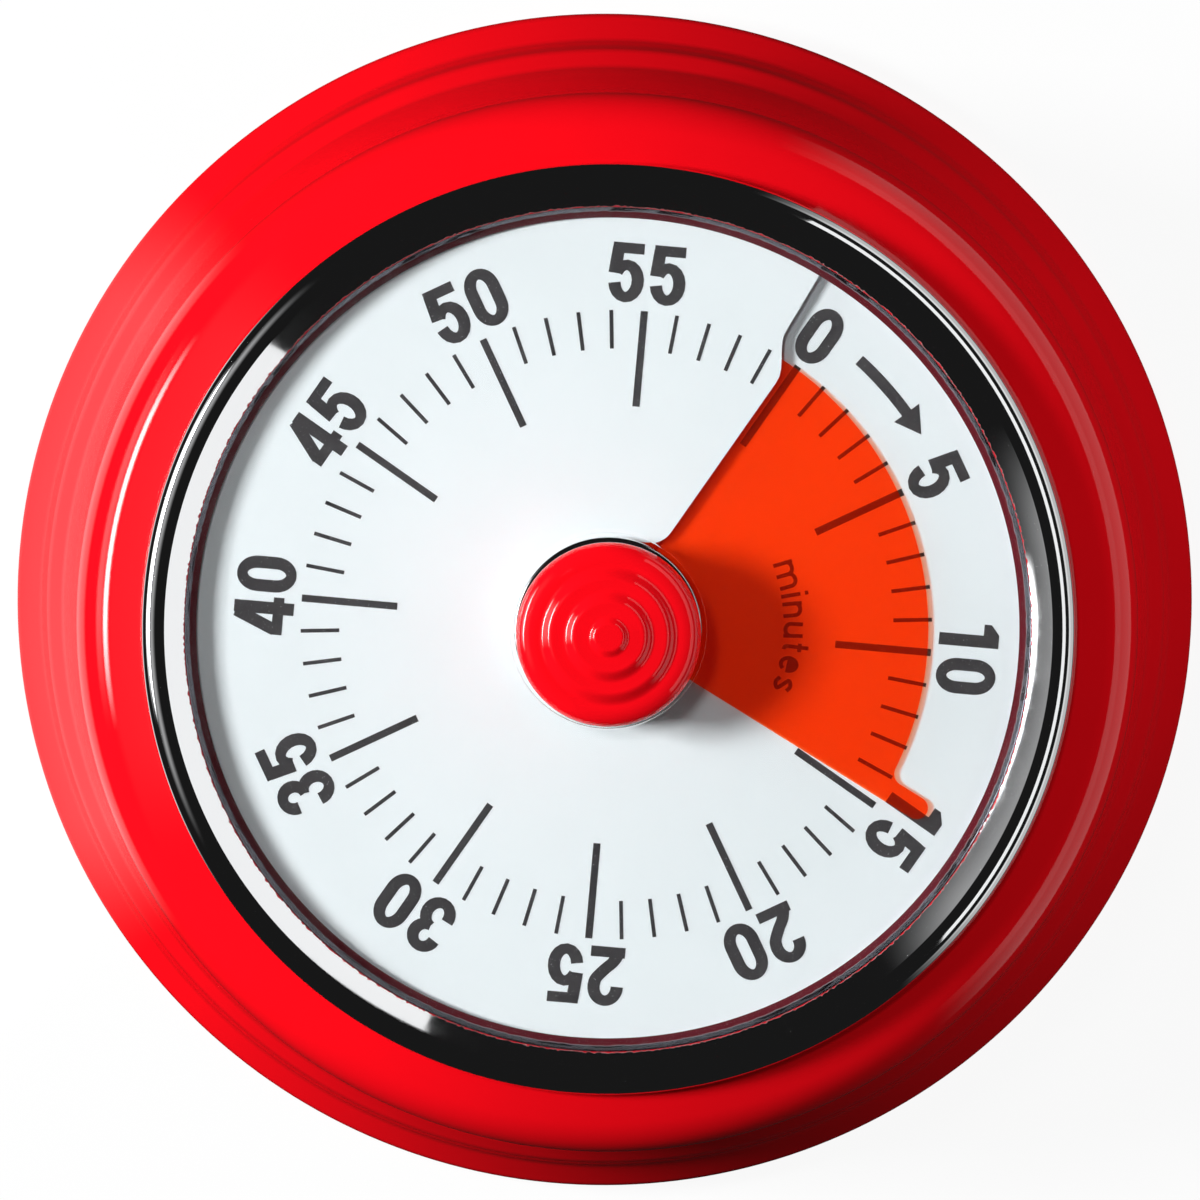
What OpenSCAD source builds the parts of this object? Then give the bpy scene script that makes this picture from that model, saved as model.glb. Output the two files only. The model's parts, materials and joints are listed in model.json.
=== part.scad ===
// Wind-up sixty-minute timer that shows the time left as a coloured sector.
// A red bell-shaped case holds a clockwork movement with a bell. A thin disc turns with the
// knob and comes up through a slit in the dial at zero, so the part in view is the time left.
// The timer lies on its back: +Z is the way the dial faces, the dial's zero is at +Y, and the
// origin is the middle of the back. Dial angles run clockwise from zero, as on the face.
// Plan angles run anticlockwise from +X, seen from the front. All sizes are millimetres.

/* [Case] */
// Diameter of the case at its rim
case_d = 80; // [77:0.5:90]
// Height of the widest line of the rim above the back
rim_h = 3.2; // [2.4:0.1:5]
// Step from the rim in to the middle of the first riser
step_1_in = 2.1; // [1.6:0.05:2.8]
// Height of the first riser's middle
step_1_h = 7.35; // [6.5:0.05:9]
// Step from the first riser in to the second
step_2_in = 1.75; // [1.4:0.05:2.4]
// Height of the second riser's middle
step_2_h = 12; // [11:0.1:14]
// Width of each riser, seen from the front
riser_w = 0.6; // [0.3:0.05:0.9]
// Height of each riser
riser_h = 3.4; // [2.6:0.1:3.8]
// Bulge of the two bands below the risers
band_bulge = 0.1; // [0.05:0.05:0.3]
// Lean of the wall from the second riser in to the shoulder
shoulder_in = 1.45; // [1:0.05:2]
// Height of the shoulder's corner, before it is rounded, below the front edge
shoulder_drop = 2.35; // [1.5:0.05:3]
// Radius that rounds the shoulder
shoulder_round = 4; // [2:0.1:5]
// Wall of the case
case_wall = 1.4; // [1.1:0.1:1.8]
// Width of the foot ring that the case rests on
foot_w = 1.4; // [1:0.1:2]
// Overhang of the rim past the foot ring
rim_lip = 1.8; // [1:0.1:2.4]
// Depth of the rear cover inside the foot ring
cover_inset = 0.8; // [0.5:0.1:1.2]
// Thickness of the rear cover
cover_t = 1.6; // [1.3:0.1:2.4]
// Diameter of each holding magnet
magnet_d = 10; // [6:0.5:12]

/* [Front] */
// Diameter of the bezel where it sits on the case
bezel_d = 60.6; // [59:0.1:63]
// Height of the bezel above its seat
bezel_h = 2.1; // [1.7:0.1:2.8]
// Width of the bezel's rounded bead
bead_w = 1.4; // [1:0.1:1.5]
// Width of the case's front edge under the bezel
seat_w = 1.4; // [1:0.1:2]
// Wall of the bezel's skirt inside the case
skirt_wall = 0.5; // [0.4:0.05:0.7]
// Width of the lip that holds the lens down
lip_w = 0.7; // [0.4:0.05:0.9]
// Thickness of the lens
lens_t = 1; // [0.8:0.1:1.5]
// Height of the lens's face above the case's front edge
lens_rise = 0.9; // [0.7:0.05:1.1]
// Space between the highest point of the time disc and the lens
lens_gap = 0.5; // [0.3:0.05:1]
// Lap of the inner ring over the dial's edge
view_lap = 0.5; // [0.3:0.05:0.8]
// Thickness of the dial sheet
dial_t = 0.3; // [0.2:0.05:0.4]
// Rise of the dial sheet in one turn, which opens the slit
dial_rise = 0.8; // [0.7:0.05:1.2]
// Offset of the slit from the zero line
slit_offset = 0.27; // [0.1:0.01:0.5]
// Angle of the notch at the slit's outer end, where the pointer tab stops
notch_angle = 4.25; // [4:0.05:8]
// Radius that rounds the dial's upper corner at the slit's inner end
dial_corner = 1.5; // [0.8:0.1:1.8]

/* [Time disc and knob] */
// Width of the ring of numbers in view outside the time disc
number_w = 6.3; // [5.5:0.1:7.5]
// Width of the dial in view past the end of the pointer tab
tab_gap = 2.9; // [2.4:0.1:3.5]
// Width of the pointer tab
tab_w = 1.47; // [1:0.01:1.5]
// Thickness of the disc's film
film_t = 0.15; // [0.1:0.01:0.22]
// Minutes set
minutes_set = 14.5; // [1:0.5:59]
// Diameter of the knob
knob_d = 12; // [10:0.1:14]
// Height of the knob
knob_h = 5.65; // [5:0.05:8]
// Flare of the knob from its foot to its widest line
knob_flare = 0.3; // [0.1:0.05:0.6]
// Width of the knob's rounded brow
brow_w = 1.3; // [0.8:0.05:1.5]
// Height of the knob's rounded brow
brow_h = 1.15; // [0.8:0.05:1.5]
// Step in from each tier of the knob's face to the next
tier_in = 1.5; // [1.2:0.05:1.6]
// Height of the lowest tier of the knob's face
tier_h = 0.55; // [0.3:0.05:0.8]
// Diameter of the collar under the knob
collar_d = 12.2; // [11.6:0.1:14]

/* [Movement] */
// Diameter of the movement's two plates
plate_d = 55; // [53:0.5:57]
// Thickness of each plate
plate_t = 1; // [0.8:0.1:1.4]
// Radius of the main arbor where it carries the knob
arbor_r = 1.6; // [1.3:0.05:1.9]
// Height of the mainspring's ribbon
spring_h = 4; // [3:0.1:6]
// Thickness of the mainspring's ribbon
spring_t = 0.3; // [0.2:0.02:0.4]
// Turns of the mainspring
spring_turns = 7; // [5:0.5:8]
// Radius of the mainspring's outer turn
spring_r = 11.6; // [9:0.1:12]
// Thickness of the main wheel
main_t = 1; // [0.7:0.1:1.4]
// Module of the main wheel and its pinion
main_m = 0.45; // [0.42:0.01:0.48]
// Module of the second wheel and its pinion
second_m = 0.36; // [0.33:0.01:0.38]
// Module of the third wheel and its pinion
third_m = 0.32; // [0.3:0.01:0.34]
// Thickness of the lighter wheels
wheel_t = 0.6; // [0.4:0.05:0.8]
// Diameter of the escape wheel over its teeth
escape_d = 10; // [9.6:0.1:11]
// Height of the bell
bell_h = 5; // [4:0.1:7]
// Diameter of the bell
bell_d = 25; // [20:0.5:26]
// Wall of the bell
bell_wall = 0.8; // [0.5:0.05:1.2]

/* [Hidden] */
$fn = 96;

// Colours of the finishes
red = "#e01020";
chrome = "#d8dade";
brass = "#c8a44a";
steel = "#a8abb0";
black = "#202124";

// Clearances: round a running shaft, between parts that drop together, and past moving parts
slack = 0.05;
fit = 0.1;
air = 0.3;
// Reach of a cut that goes right through
far = 100;

// Heights, from the back up. The case's depth is the sum of what it holds.
bell_gap = 0.6;
post_h = 1;
spring_gap = 0.8;
tail_t = 0.6;
tail_gap = 0.2;
ratchet_t = 0.8;
level_gap = 1.2;
wheel_gap = 0.2;
nut_t = 0.75;
flange_t = 1.2;
film_gap = 0.15;
cover_top = cover_inset + cover_t;
bell_z = cover_top + bell_gap;
bell_top = bell_z + bell_h;
rear_z = bell_top + post_h;
rear_top = rear_z + plate_t;
spring_z = rear_top + spring_gap;
spring_top = spring_z + spring_h;
main_z = spring_top + tail_t + 2 * tail_gap;
main_top = main_z + main_t;
second_z = main_top + ratchet_t + level_gap + wheel_gap;
third_z = second_z + wheel_t + level_gap;
escape_z = main_top + wheel_gap;
front_z = third_z + wheel_t + level_gap;
front_top = front_z + plate_t;
flange_z = front_top + nut_t + fit;
flange_top = flange_z + flange_t;
film_low = flange_top + film_gap;
dial_z = film_low + film_t / 2 + dial_rise / 2;
film_high = dial_z + 1.5 * dial_rise + film_t / 2;
lens_z = film_high + lens_gap;
lens_top = lens_z + lens_t;
seat_z = lens_top - lens_rise;

// Radii of the case and of what sits in its front
rim_r = case_d / 2;
step_1_r = rim_r - step_1_in;
step_2_r = step_1_r - step_2_in;
seat_r = bezel_d / 2;
opening_r = seat_r - seat_w;
skirt_r = opening_r - slack;
lens_r = skirt_r - skirt_wall - fit;
lip_r = lens_r - lip_w;
sleeve_w = 0.85;
dial_r = lens_r - sleeve_w - fit;
view_r = dial_r - view_lap;
disc_r = view_r - number_w;
tab_reach = view_r - tab_gap;
tab_air = 0.8;
seat_ring_r = tab_reach + tab_air;
lens_hole_r = collar_d / 2 + air;
hub_r = 5.15;
dial_tuck = 0.05;
dial_hole_r = collar_d / 2 - dial_tuck;
foot_r = rim_r - rim_lip;
foot_bulge = 0.5;
pocket_r = foot_r - foot_w;
cover_r = pocket_r - fit;
shelf_w = 1.6;
shelf_r = cover_r - shelf_w;
shelf_t = 1.4;

// Screws of the cover, of the movement, and the posts that take them
cover_screw_r = shelf_r - air;
cover_screw_angles = [90, 210, 330];
screw_r = 0.9;
head_r = 1.7;
head_t = 0.7;
boss_r = 2.2;
boss_h = 6;
boss_roof = 1;
mount_r = (seat_ring_r + dial_r) / 2;
mount_angles = [5, 125, 245];
mount_post_r = 1.6;
thread_roof = 0.5;

// Time disc: the angle that its leading edge has reached on the dial
set_angle = minutes_set * 6;
film_steps = 72;
tab_steps = 10;
dial_steps = 48;
corner_steps = 6;
bend_steps = 6;
// Gap under the dial where it rests on its ring
rest_gap = 0.02;

// Main arbor, collar and knob
collar_gap = 0.25;
collar_z = film_high + collar_gap;
collar_top = lens_top + air;
collar_edge = 0.15;
knob_top = collar_top + knob_h;
knob_roof = 1.5;
knob_bore_top = knob_top - knob_roof;
knob_r = knob_d / 2;
tiers = 3;
tier_fade = 0.1;
tier_run = 1.67;
tier_start = 1.9;
brow_steps = 8;
face_step = 0.15;
hub_lip = 0.35;
hub_z = film_low - fit;
hub_h = dial_rise + film_t + hub_lip;
core_wall = 0.6;
core_r = arbor_r + core_wall;
pivot_step = 0.2;
pivot_r = arbor_r - pivot_step;

// Going train: teeth of each wheel, leaves of each pinion, and the plan of the arbors
main_teeth = 60;
second_leaves = 10;
second_teeth = 56;
third_leaves = 8;
third_teeth = 48;
escape_leaves = 8;
escape_teeth = 15;
tooth_share = 1.45;
leaf_share = 1.05;
tip_roll = 60;
wheel_root = 1.6;
leaf_root = 1.55;
leaf_tip = 0.7;
leaf_end = 0.5;
opening_share = 0.28;
second_angle = 20;
third_r = 18;
escape_r = 20;
verge_r = 20;
pallet_reach = 6.6;
second_arm = main_m * (main_teeth + second_leaves) / 2;
third_arm = second_m * (second_teeth + third_leaves) / 2;
escape_arm = third_m * (third_teeth + escape_leaves) / 2;
third_angle = second_angle + corner(second_arm, third_r, third_arm);
escape_angle = third_angle + corner(third_r, escape_r, escape_arm);
verge_angle = escape_angle + corner(escape_r, verge_r, pallet_reach);
second_at = plan(second_arm, second_angle);
third_at = plan(third_r, third_angle);
escape_at = plan(escape_r, escape_angle);
verge_at = plan(verge_r, verge_angle);
staff_r = 0.6;
staff_pivot_r = 0.45;

// Escapement: the verge's pins stand a whole number of teeth and a half apart
spread_teeth = 2.5;
pallet_spread = spread_teeth * 360 / escape_teeth;
pin_r = 0.22;
pin_gap = 0.12;
pin_reach = 0.4;
pin_land = 0.45;
escape_root = 1.35;
escape_tip_half = 0.7;
escape_root_half = 6;
verge_gap = 0.6;
verge_t = 0.6;
verge_z = escape_z + wheel_t + verge_gap;
verge_hub_r = 1.3;
verge_waist = 0.9;
balance_half = 5;
balance_w = 1.2;
balance_t = 0.8;
weight_r = 1.3;
weight_over = 0.3;

// Plates: pillars and openings, as angles after the second arbor
pillar_r = 1.8;
pillar_circle = 22;
pillar_angles = [for (a = [-48, 120, 185, 250]) second_angle + a];
window_r = 4;
window_circle = 13;
window_angles = [for (a = [150, 215, 280]) second_angle + a];

// Ratchet and click on the main wheel
ratchet_teeth = 20;
ratchet_r = 4.6;
ratchet_deep = 0.7;
ratchet_tip_half = 0.5;
click_angle = 200;
click_circle = 8;
click_lean = 24;
click_hub_r = 1.4;
click_tip_half = 0.2;
click_tip_gap = 0.35;
stud_head_r = 1.3;
stud_head_t = 0.4;
leaf_spring_t = 0.3;
leaf_spring_foot_r = 0.7;

// Trip pin on the main wheel, the hammer that it lifts at zero, and the bell below the rear plate
trip_pin_r = 0.25;
rim_land = 0.35;
trip_circle = main_m * (main_teeth / 2 - wheel_root) - trip_pin_r - rim_land;
trip_lead = 2.5;
hammer_angle = 202.5;
tail_length = 3;
tail_tip_w = 0.24;
hammer_circle = trip_circle + tail_length;
hammer_reach = 8;
hammer_head_r = 0.7;
hammer_rivet_r = 0.4;
hammer_staff_r = 0.8;
hammer_hub_r = 1.5;
hammer_shoulder = 0.5;
hammer_shoulder_t = 0.6;
arm_w = 1.2;
arm_t = 1;
arm_z = rear_z - arm_t - 2 * air;
strike_gap = 0.2;
bell_lip = 0.4;
bell_crown = 3.5;
bell_bulge = 1.6;
bell_post_r = 2.2;
bell_nut_r = 2;
bell_nut_t = 1;
bell_stud_over = 0.4;
bell_offset = bell_d / 2 + hammer_head_r + strike_gap;
bell_circle = norm([hammer_circle - hammer_reach, bell_offset]);
bell_angle = hammer_angle - atan2(bell_offset, hammer_circle - hammer_reach);
bell_at = plan(bell_circle, bell_angle);
hammer_at = plan(hammer_circle, hammer_angle);

// Plan position of a point at a radius and an angle
function plan(r, a) = r * [cos(a), sin(a)];

// Angle at the middle between two radii whose ends are a given distance apart
function corner(r1, r2, apart) = acos((r1 * r1 + r2 * r2 - apart * apart) / (2 * r1 * r2));

// Direction from one plan position to another
function heading(from, to) = atan2(to.y - from.y, to.x - from.x);

// Points of an arc from a to b that stands out to the right of the way by the bulge
function arc(a, b, bulge, steps = 12) =
    let (mid = (a + b) / 2,
         half = norm(b - a) / 2,
         along = (b - a) / (2 * half),
         out = [along.y, -along.x],
         r = (half * half + bulge * bulge) / (2 * bulge),
         span = asin(half / r),
         centre = mid + (bulge - r) * out)
    [for (i = [0 : steps])
        let (t = span * (2 * i / steps - 1))
        centre + r * (cos(t) * out + sin(t) * along)];

// Points of the arc that rounds the corner c of the way from a to b
function rounded(a, c, b, r, steps = 12) =
    let (back = (a - c) / norm(a - c),
         on = (b - c) / norm(b - c),
         half = acos(back * on) / 2,
         centre = c + (back + on) / norm(back + on) * r / sin(half),
         from = c + back * r / tan(half),
         to = c + on * r / tan(half),
         start = heading(centre, from),
         turn = heading(centre, to) - start)
    [for (i = [0 : steps]) centre + plan(r, start + turn * i / steps)];

// Point of the dial's screw surface at a dial angle, raised by a height
function on_screw(r, angle, lift) =
    [r * sin(angle), r * cos(angle), dial_z + dial_rise * angle / 360 + lift];

// Dial angle of the slit at a radius: beside the zero line, then out to the notch
slit_bend_in = 1;
slit_bend_out = 2;
slit_bend = [disc_r - slit_bend_in, disc_r + slit_bend_out];
function ease(t) = t * t * (3 - 2 * t);
function slit_angle(r) =
    let (straight = asin(slit_offset / r),
         t = (r - slit_bend[0]) / (slit_bend[1] - slit_bend[0]),
         s = ease(min(max(t, 0), 1)))
    -(straight * (1 - s) + notch_angle * s);

// Reach of the film at an angle behind its leading edge: the disc, then the round-ended tab
tab_mid = norm([tab_reach - tab_w / 2, tab_w / 2]);
tab_lean = atan2(tab_w / 2, tab_reach - tab_w / 2);
function tab_end(behind) =
    let (a = behind - tab_lean, s = tab_mid * sin(a))
    abs(s) >= tab_w / 2 ? 0 : tab_mid * cos(a) + sqrt(tab_w * tab_w / 4 - s * s);
function film_reach(behind) =
    let (side = behind > 0.01 ? tab_w / sin(min(behind, 90)) : far)
    max(disc_r, min(side, max(tab_end(behind), tab_reach - tab_w / 2)));
tab_span = asin(tab_w / disc_r);

// Point of the curve that a rim point of a circle draws as it rolls on the pitch circle
function rolled(r, roller, t) =
    let (spin = (r + roller) / roller * t)
    plan(r + roller, t) - plan(roller, spin);

// Outline of a clock wheel: radial flanks below the pitch circle, rolled curves above it
function wheel_outline(teeth, m, mate) =
    let (r = teeth * m / 2,
         roller = mate * m / 4,
         half = tooth_share * m / 2 / r * 180 / PI,
         root = r - wheel_root * m,
         face = [for (k = [0 : 3]) rolled(r, roller, tip_roll * roller / r * k / 3)],
         up = [for (q = face) [norm(q), atan2(q.y, q.x) - half]],
         down = [for (k = [3 : -1 : 0]) [up[k][0], -up[k][1]]],
         tooth = concat([[root, -half]], up, down, [[root, half]]))
    [for (i = [0 : teeth - 1]) for (q = tooth) plan(q[0], q[1] + i * 360 / teeth)];

// Outline of a pinion: radial leaves with rounded tips
function pinion_outline(leaves, m) =
    let (r = leaves * m / 2,
         half = leaf_share * m / 2 / r * 180 / PI,
         root = r - leaf_root * m,
         round = [for (t = [0 : 30 : 180]) [r + leaf_tip * m * sin(t), -half * cos(t)]],
         leaf = concat([[root, -half]], round, [[root, half]]))
    [for (i = [0 : leaves - 1]) for (q = leaf) plan(q[0], q[1] + (i + 0.5) * 360 / leaves)];

// Outline of a wheel with pointed teeth that lean by an angle
function pointed_outline(teeth, r, deep, tip_half, root_half, lean) =
    let (root = r - deep)
    [for (i = [0 : teeth - 1])
        for (q = [[root, -root_half], [r, lean - tip_half], [r, lean + tip_half], [root, root_half]])
            plan(q[0], q[1] + i * 360 / teeth)];

// Spiral from one radius to another, as points of its middle line moved out by an offset
function spiral(from, to, turns, offset) =
    let (steps = round(turns * 24))
    [for (i = [0 : steps]) plan(from + (to - from) * i / steps + offset, 360 * turns * i / steps)];

// Solid of revolution from an outline of [radius, height] points
module turned(outline) {
    rotate_extrude() polygon(outline);
}

// Round bar between two heights
module bar(r, from, to) {
    translate([0, 0, from]) cylinder(r = r, h = to - from);
}

// Cut of a round hole through everything
module hole(r) {
    translate([0, 0, -far / 2]) cylinder(r = r, h = far);
}

// Place at a plan radius and angle
module polar(r, a) {
    rotate([0, 0, a]) translate([r, 0, 0]) children();
}

// Place at a plan position
module at(xy) {
    translate([xy.x, xy.y, 0]) children();
}

// Closed sheet between two grids of points, rows outwards and columns clockwise
module sheet(top, bottom) {
    rows = len(top);
    cols = len(top[0]);
    count = rows * cols;
    points = concat([for (row = top) each row], [for (row = bottom) each row]);
    function t(i, j) = i * cols + j;
    function b(i, j) = count + i * cols + j;
    last = rows - 1;
    end = cols - 1;
    faces = concat(
        [for (i = [0 : last - 1], j = [0 : end - 1]) each [
            [t(i, j), t(i + 1, j), t(i + 1, j + 1)], [t(i, j), t(i + 1, j + 1), t(i, j + 1)],
            [b(i, j), b(i + 1, j + 1), b(i + 1, j)], [b(i, j), b(i, j + 1), b(i + 1, j + 1)]]],
        [for (j = [0 : end - 1]) each [
            [t(last, j + 1), t(last, j), b(last, j)], [t(last, j + 1), b(last, j), b(last, j + 1)],
            [t(0, j), t(0, j + 1), b(0, j + 1)], [t(0, j), b(0, j + 1), b(0, j)]]],
        [for (i = [0 : last - 1]) each [
            [t(i + 1, 0), t(i, 0), b(i, 0)], [t(i + 1, 0), b(i, 0), b(i + 1, 0)],
            [t(i, end), t(i + 1, end), b(i + 1, end)], [t(i, end), b(i + 1, end), b(i, end)]]]);
    polyhedron(points, faces, convexity = 6);
}

// Screw with a round head, its head below and its shank pointing up
module screw(head_z, tip_z) {
    bar(head_r, head_z, head_z + head_t);
    bar(screw_r, head_z + head_t, tip_z);
}

// Hexagonal nut with a plain bore
module nut(r, bore, from, to) {
    difference() {
        translate([0, 0, from]) cylinder(r = r, h = to - from, $fn = 6);
        hole(bore);
    }
}

// Arbor between the plates, with a thinner pivot in each
module staff(r, pivot) {
    bar(r, rear_top + air, front_z - air);
    bar(pivot, rear_z, front_top);
}

// Train wheel with round openings, one tooth on the +X side
module train_wheel(teeth, m, mate, t, bore, openings) {
    r = teeth * m / 2 - wheel_root * m;
    ring = (r + bore) / 2 + air;
    linear_extrude(t) difference() {
        polygon(wheel_outline(teeth, m, mate));
        circle(bore);
        for (i = [0 : openings - 1])
            rotate((i + 0.5) * 360 / openings) translate([ring, 0]) circle((r - bore) * opening_share);
    }
}

// Foot and head of each riser of the case's wall
function risers() =
    let (half = [riser_w, -riser_h] / 2,
         first = [step_1_r, step_1_h],
         second = [step_2_r, step_2_h])
    [first + half, first - half, second + half, second - half];

module case_body() {
    rim = [rim_r, rim_h];
    step = risers();
    turned(concat(
        [[0, 0]],
        arc([foot_r, 0], rim, foot_bulge),
        arc(rim, step[0], band_bulge),
        arc(step[1], step[2], band_bulge),
        shoulder(),
        [[0, seat_z]]));
}

// Way from the second riser round the shoulder to the front edge
function shoulder() =
    let (foot = risers()[3],
         corner = [step_2_r - shoulder_in, seat_z - shoulder_drop],
         edge = [seat_r, seat_z])
    concat([foot], rounded(foot, corner, edge, shoulder_round), [edge]);

module case_hollow() {
    inside = [-case_wall, 0];
    shelf_top = cover_top + shelf_t;
    below_flange = [for (q = shoulder()) if (q.y < flange_z - air) q + inside];
    turned(concat(
        [[0, -far], [pocket_r, -far], [pocket_r, cover_top], [shelf_r, cover_top], [shelf_r, shelf_top]],
        [for (q = risers()) q + inside],
        below_flange,
        [[below_flange[len(below_flange) - 1].x, flange_z], [seat_ring_r, flange_z]],
        [[seat_ring_r, flange_top], [opening_r, flange_top], [opening_r, far], [0, far]]));
}

module housing() {
    color(red) difference() {
        union() {
            difference() {
                case_body();
                case_hollow();
            }
            for (a = cover_screw_angles)
                polar(cover_screw_r, a) bar(boss_r, cover_top + shelf_t / 2, cover_top + boss_h);
            for (a = mount_angles)
                polar(mount_r, a) bar(mount_post_r, front_top, flange_z + flange_t / 2);
        }
        for (a = cover_screw_angles)
            polar(cover_screw_r, a) bar(screw_r, -far, cover_top + boss_h - boss_roof);
        for (a = mount_angles)
            polar(mount_r, a) bar(screw_r, 0, flange_top - thread_roof);
    }
}

module bezel() {
    bead_drop = 0.3;
    bead_bulge = 0.75;
    bead_end = [seat_r - bead_w, seat_z + bezel_h - bead_drop];
    skirt_reach = 0.4;
    skirt_end = lens_z - skirt_reach;
    color(chrome) turned(concat(
        arc([seat_r, seat_z], bead_end, bead_bulge),
        [[lip_r, lens_top], [skirt_r - skirt_wall, lens_top], [skirt_r - skirt_wall, skirt_end]],
        [[skirt_r, skirt_end], [skirt_r, seat_z]]));
}

module lens() {
    color([0.9, 0.95, 1, 0.35]) difference() {
        bar(lens_r, lens_z, lens_top);
        hole(lens_hole_r);
    }
}

module dial_ring() {
    ledge = dial_z + dial_rise + dial_t / 2 + fit;
    ledge_t = 0.15;
    color(chrome) turned([
        [lens_r - sleeve_w, flange_top], [lens_r, flange_top], [lens_r, lens_z],
        [lip_r, lens_z], [view_r, ledge + ledge_t], [view_r, ledge], [lens_r - sleeve_w, ledge]]);
}

// Places along the dial's inner edge, as [angle past the slit, radius]: the hole, then the round corner
function dial_edge() =
    let (span = dial_corner / dial_hole_r * 180 / PI)
    concat(
        [for (j = [0 : dial_steps - 1]) [(360 - span) * j / dial_steps, dial_hole_r]],
        [for (k = [0 : corner_steps])
            let (t = 90 * k / corner_steps)
            [360 - span * (1 - sin(t)), dial_hole_r + dial_corner * (1 - cos(t))]]);

module dial() {
    bend = [for (k = [0 : bend_steps]) slit_bend[0] + (slit_bend[1] - slit_bend[0]) * k / bend_steps];
    edge = dial_edge();
    function row(r, lift) = [for (q = edge) on_screw(r, slit_angle(r) + q[0], lift)];
    function grid(lift) = concat(
        [[for (q = edge) on_screw(q[1], slit_angle(q[1]) + q[0], lift)]],
        [for (r = concat(bend, [dial_r])) row(r, lift)]);
    color("white") sheet(grid(dial_t / 2), grid(-dial_t / 2));
}

// Split ring under the dial's edge, rising with it
module dial_seat() {
    radii = [seat_ring_r, dial_r];
    split = 2;
    angles = [for (j = [0 : dial_steps]) (360 - split) * j / dial_steps + split / 2 - notch_angle];
    top = [for (r = radii) [for (a = angles) on_screw(r, a, -dial_t / 2 - rest_gap)]];
    bottom = [for (row = top) [for (q = row) [q.x, q.y, flange_top]]];
    color("white") sheet(top, bottom);
}

module time_disc() {
    turn = [for (j = [0 : film_steps]) 360 - (360 - tab_span) * j / film_steps];
    tab = [for (j = [1 : tab_steps]) tab_span * (1 - j / tab_steps)];
    behind = concat(turn, tab);
    function grid(lift) = [
        [for (d = behind) on_screw(hub_r - fit, set_angle - d, dial_rise / 2 + lift)],
        [for (d = behind) on_screw(film_reach(d), set_angle - d, dial_rise / 2 + lift)]];
    color([1, 0.28, 0.06, 0.85]) sheet(grid(film_t / 2), grid(-film_t / 2));
}

module disc_hub() {
    rise = dial_rise * set_angle / 360;
    color("white") difference() {
        bar(hub_r, hub_z + rise, hub_z + rise + hub_h);
        hole(arbor_r + slack);
    }
}

// Knob's face: soft tiers that get lower inwards, and its height above the brow at a radius
function tier_rise(i) = tier_h * (1 - tier_fade * i * i);
function face_rise(r, i = 0) =
    i == tiers ? 0 :
    let (run = tier_run * tier_rise(i),
         middle = knob_r - tier_start - i * tier_in,
         t = (middle + run / 2 - r) / run)
    tier_rise(i) * ease(min(max(t, 0), 1)) + face_rise(r, i + 1);

module knob() {
    wide_z = knob_top - brow_h - face_rise(0);
    brow_in = knob_r - brow_w;
    brow = [for (k = [0 : brow_steps])
        let (t = 90 * k / brow_steps)
        [brow_in + brow_w * cos(t), wide_z + brow_h * sin(t)]];
    face = [for (r = [brow_in - face_step : -face_step : face_step / 2]) [r, wide_z + brow_h + face_rise(r)]];
    color(red) difference() {
        turned(concat([[0, collar_top], [knob_r - knob_flare, collar_top]], brow, face, [[0, knob_top]]));
        bar(arbor_r, 0, knob_bore_top);
    }
}

module knob_collar() {
    r = collar_d / 2;
    color(chrome) difference() {
        turned([[0, collar_z], [r - collar_edge, collar_z], [r, collar_z + collar_edge],
            [r, collar_top - collar_edge], [r - collar_edge, collar_top], [0, collar_top]]);
        hole(arbor_r);
    }
}

// Sound slots of the cover, from one radius to another
slots = 8;
slot_w = 1.6;
slot_from = 9;
slot_to = 16;

module rear_cover() {
    color(black) difference() {
        bar(cover_r, cover_inset, cover_top);
        for (a = cover_screw_angles) polar(cover_screw_r, a) {
            hole(screw_r + fit);
            bar(head_r + fit, 0, cover_inset + head_t);
        }
        for (a = [0, 180])
            polar(magnet_circle(), a) bar(magnet_d / 2, 0, magnet_top());
        for (i = [0 : slots - 1]) rotate((i + 0.5) * 360 / slots) {
            translate([slot_from, -slot_w / 2, 0]) cube([slot_to - slot_from, slot_w, far]);
            for (x = [slot_from, slot_to]) translate([x, 0, 0]) hole(slot_w / 2);
        }
    }
}

// Circle of the two magnets, and the height of their pocket's floor
pocket_roof = 0.5;
function magnet_circle() = (slot_to + cover_screw_r) / 2;
function magnet_top() = cover_top - pocket_roof;

module magnets() {
    color(steel) for (a = [0, 180])
        polar(magnet_circle(), a) bar(magnet_d / 2, air, magnet_top());
}

module cover_screws() {
    color(steel) for (a = cover_screw_angles)
        polar(cover_screw_r, a) screw(cover_inset, cover_top + boss_h - boss_roof - thread_roof);
}

// Plate with the pivot holes of the whole train, its pillars and its openings
module plate(from, bearing) {
    difference() {
        bar(plate_d / 2, from, from + plate_t);
        hole(bearing + slack);
        for (p = [second_at, third_at, escape_at, verge_at]) at(p) hole(staff_pivot_r + slack);
        for (a = pillar_angles) polar(pillar_circle, a) hole(screw_r);
        for (a = window_angles) polar(window_circle, a) hole(window_r);
        children();
    }
}

module front_plate() {
    color(brass) plate(front_z, arbor_r) {
        for (a = mount_angles) polar(mount_r, a) hole(screw_r + fit);
        at(hammer_at) hole(staff_pivot_r + slack);
    }
}

module rear_plate() {
    color(brass) plate(rear_z, pivot_r) {
        at(bell_at) hole(screw_r);
        at(hammer_at) hole(hammer_staff_r + slack);
        polar(spring_post_circle(), 0) hole(screw_r);
    }
}

module pillars() {
    color(steel) for (a = pillar_angles) polar(pillar_circle, a) {
        bar(pillar_r, rear_top, front_z);
        bar(screw_r, rear_z, front_top + nut_t);
    }
}

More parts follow.
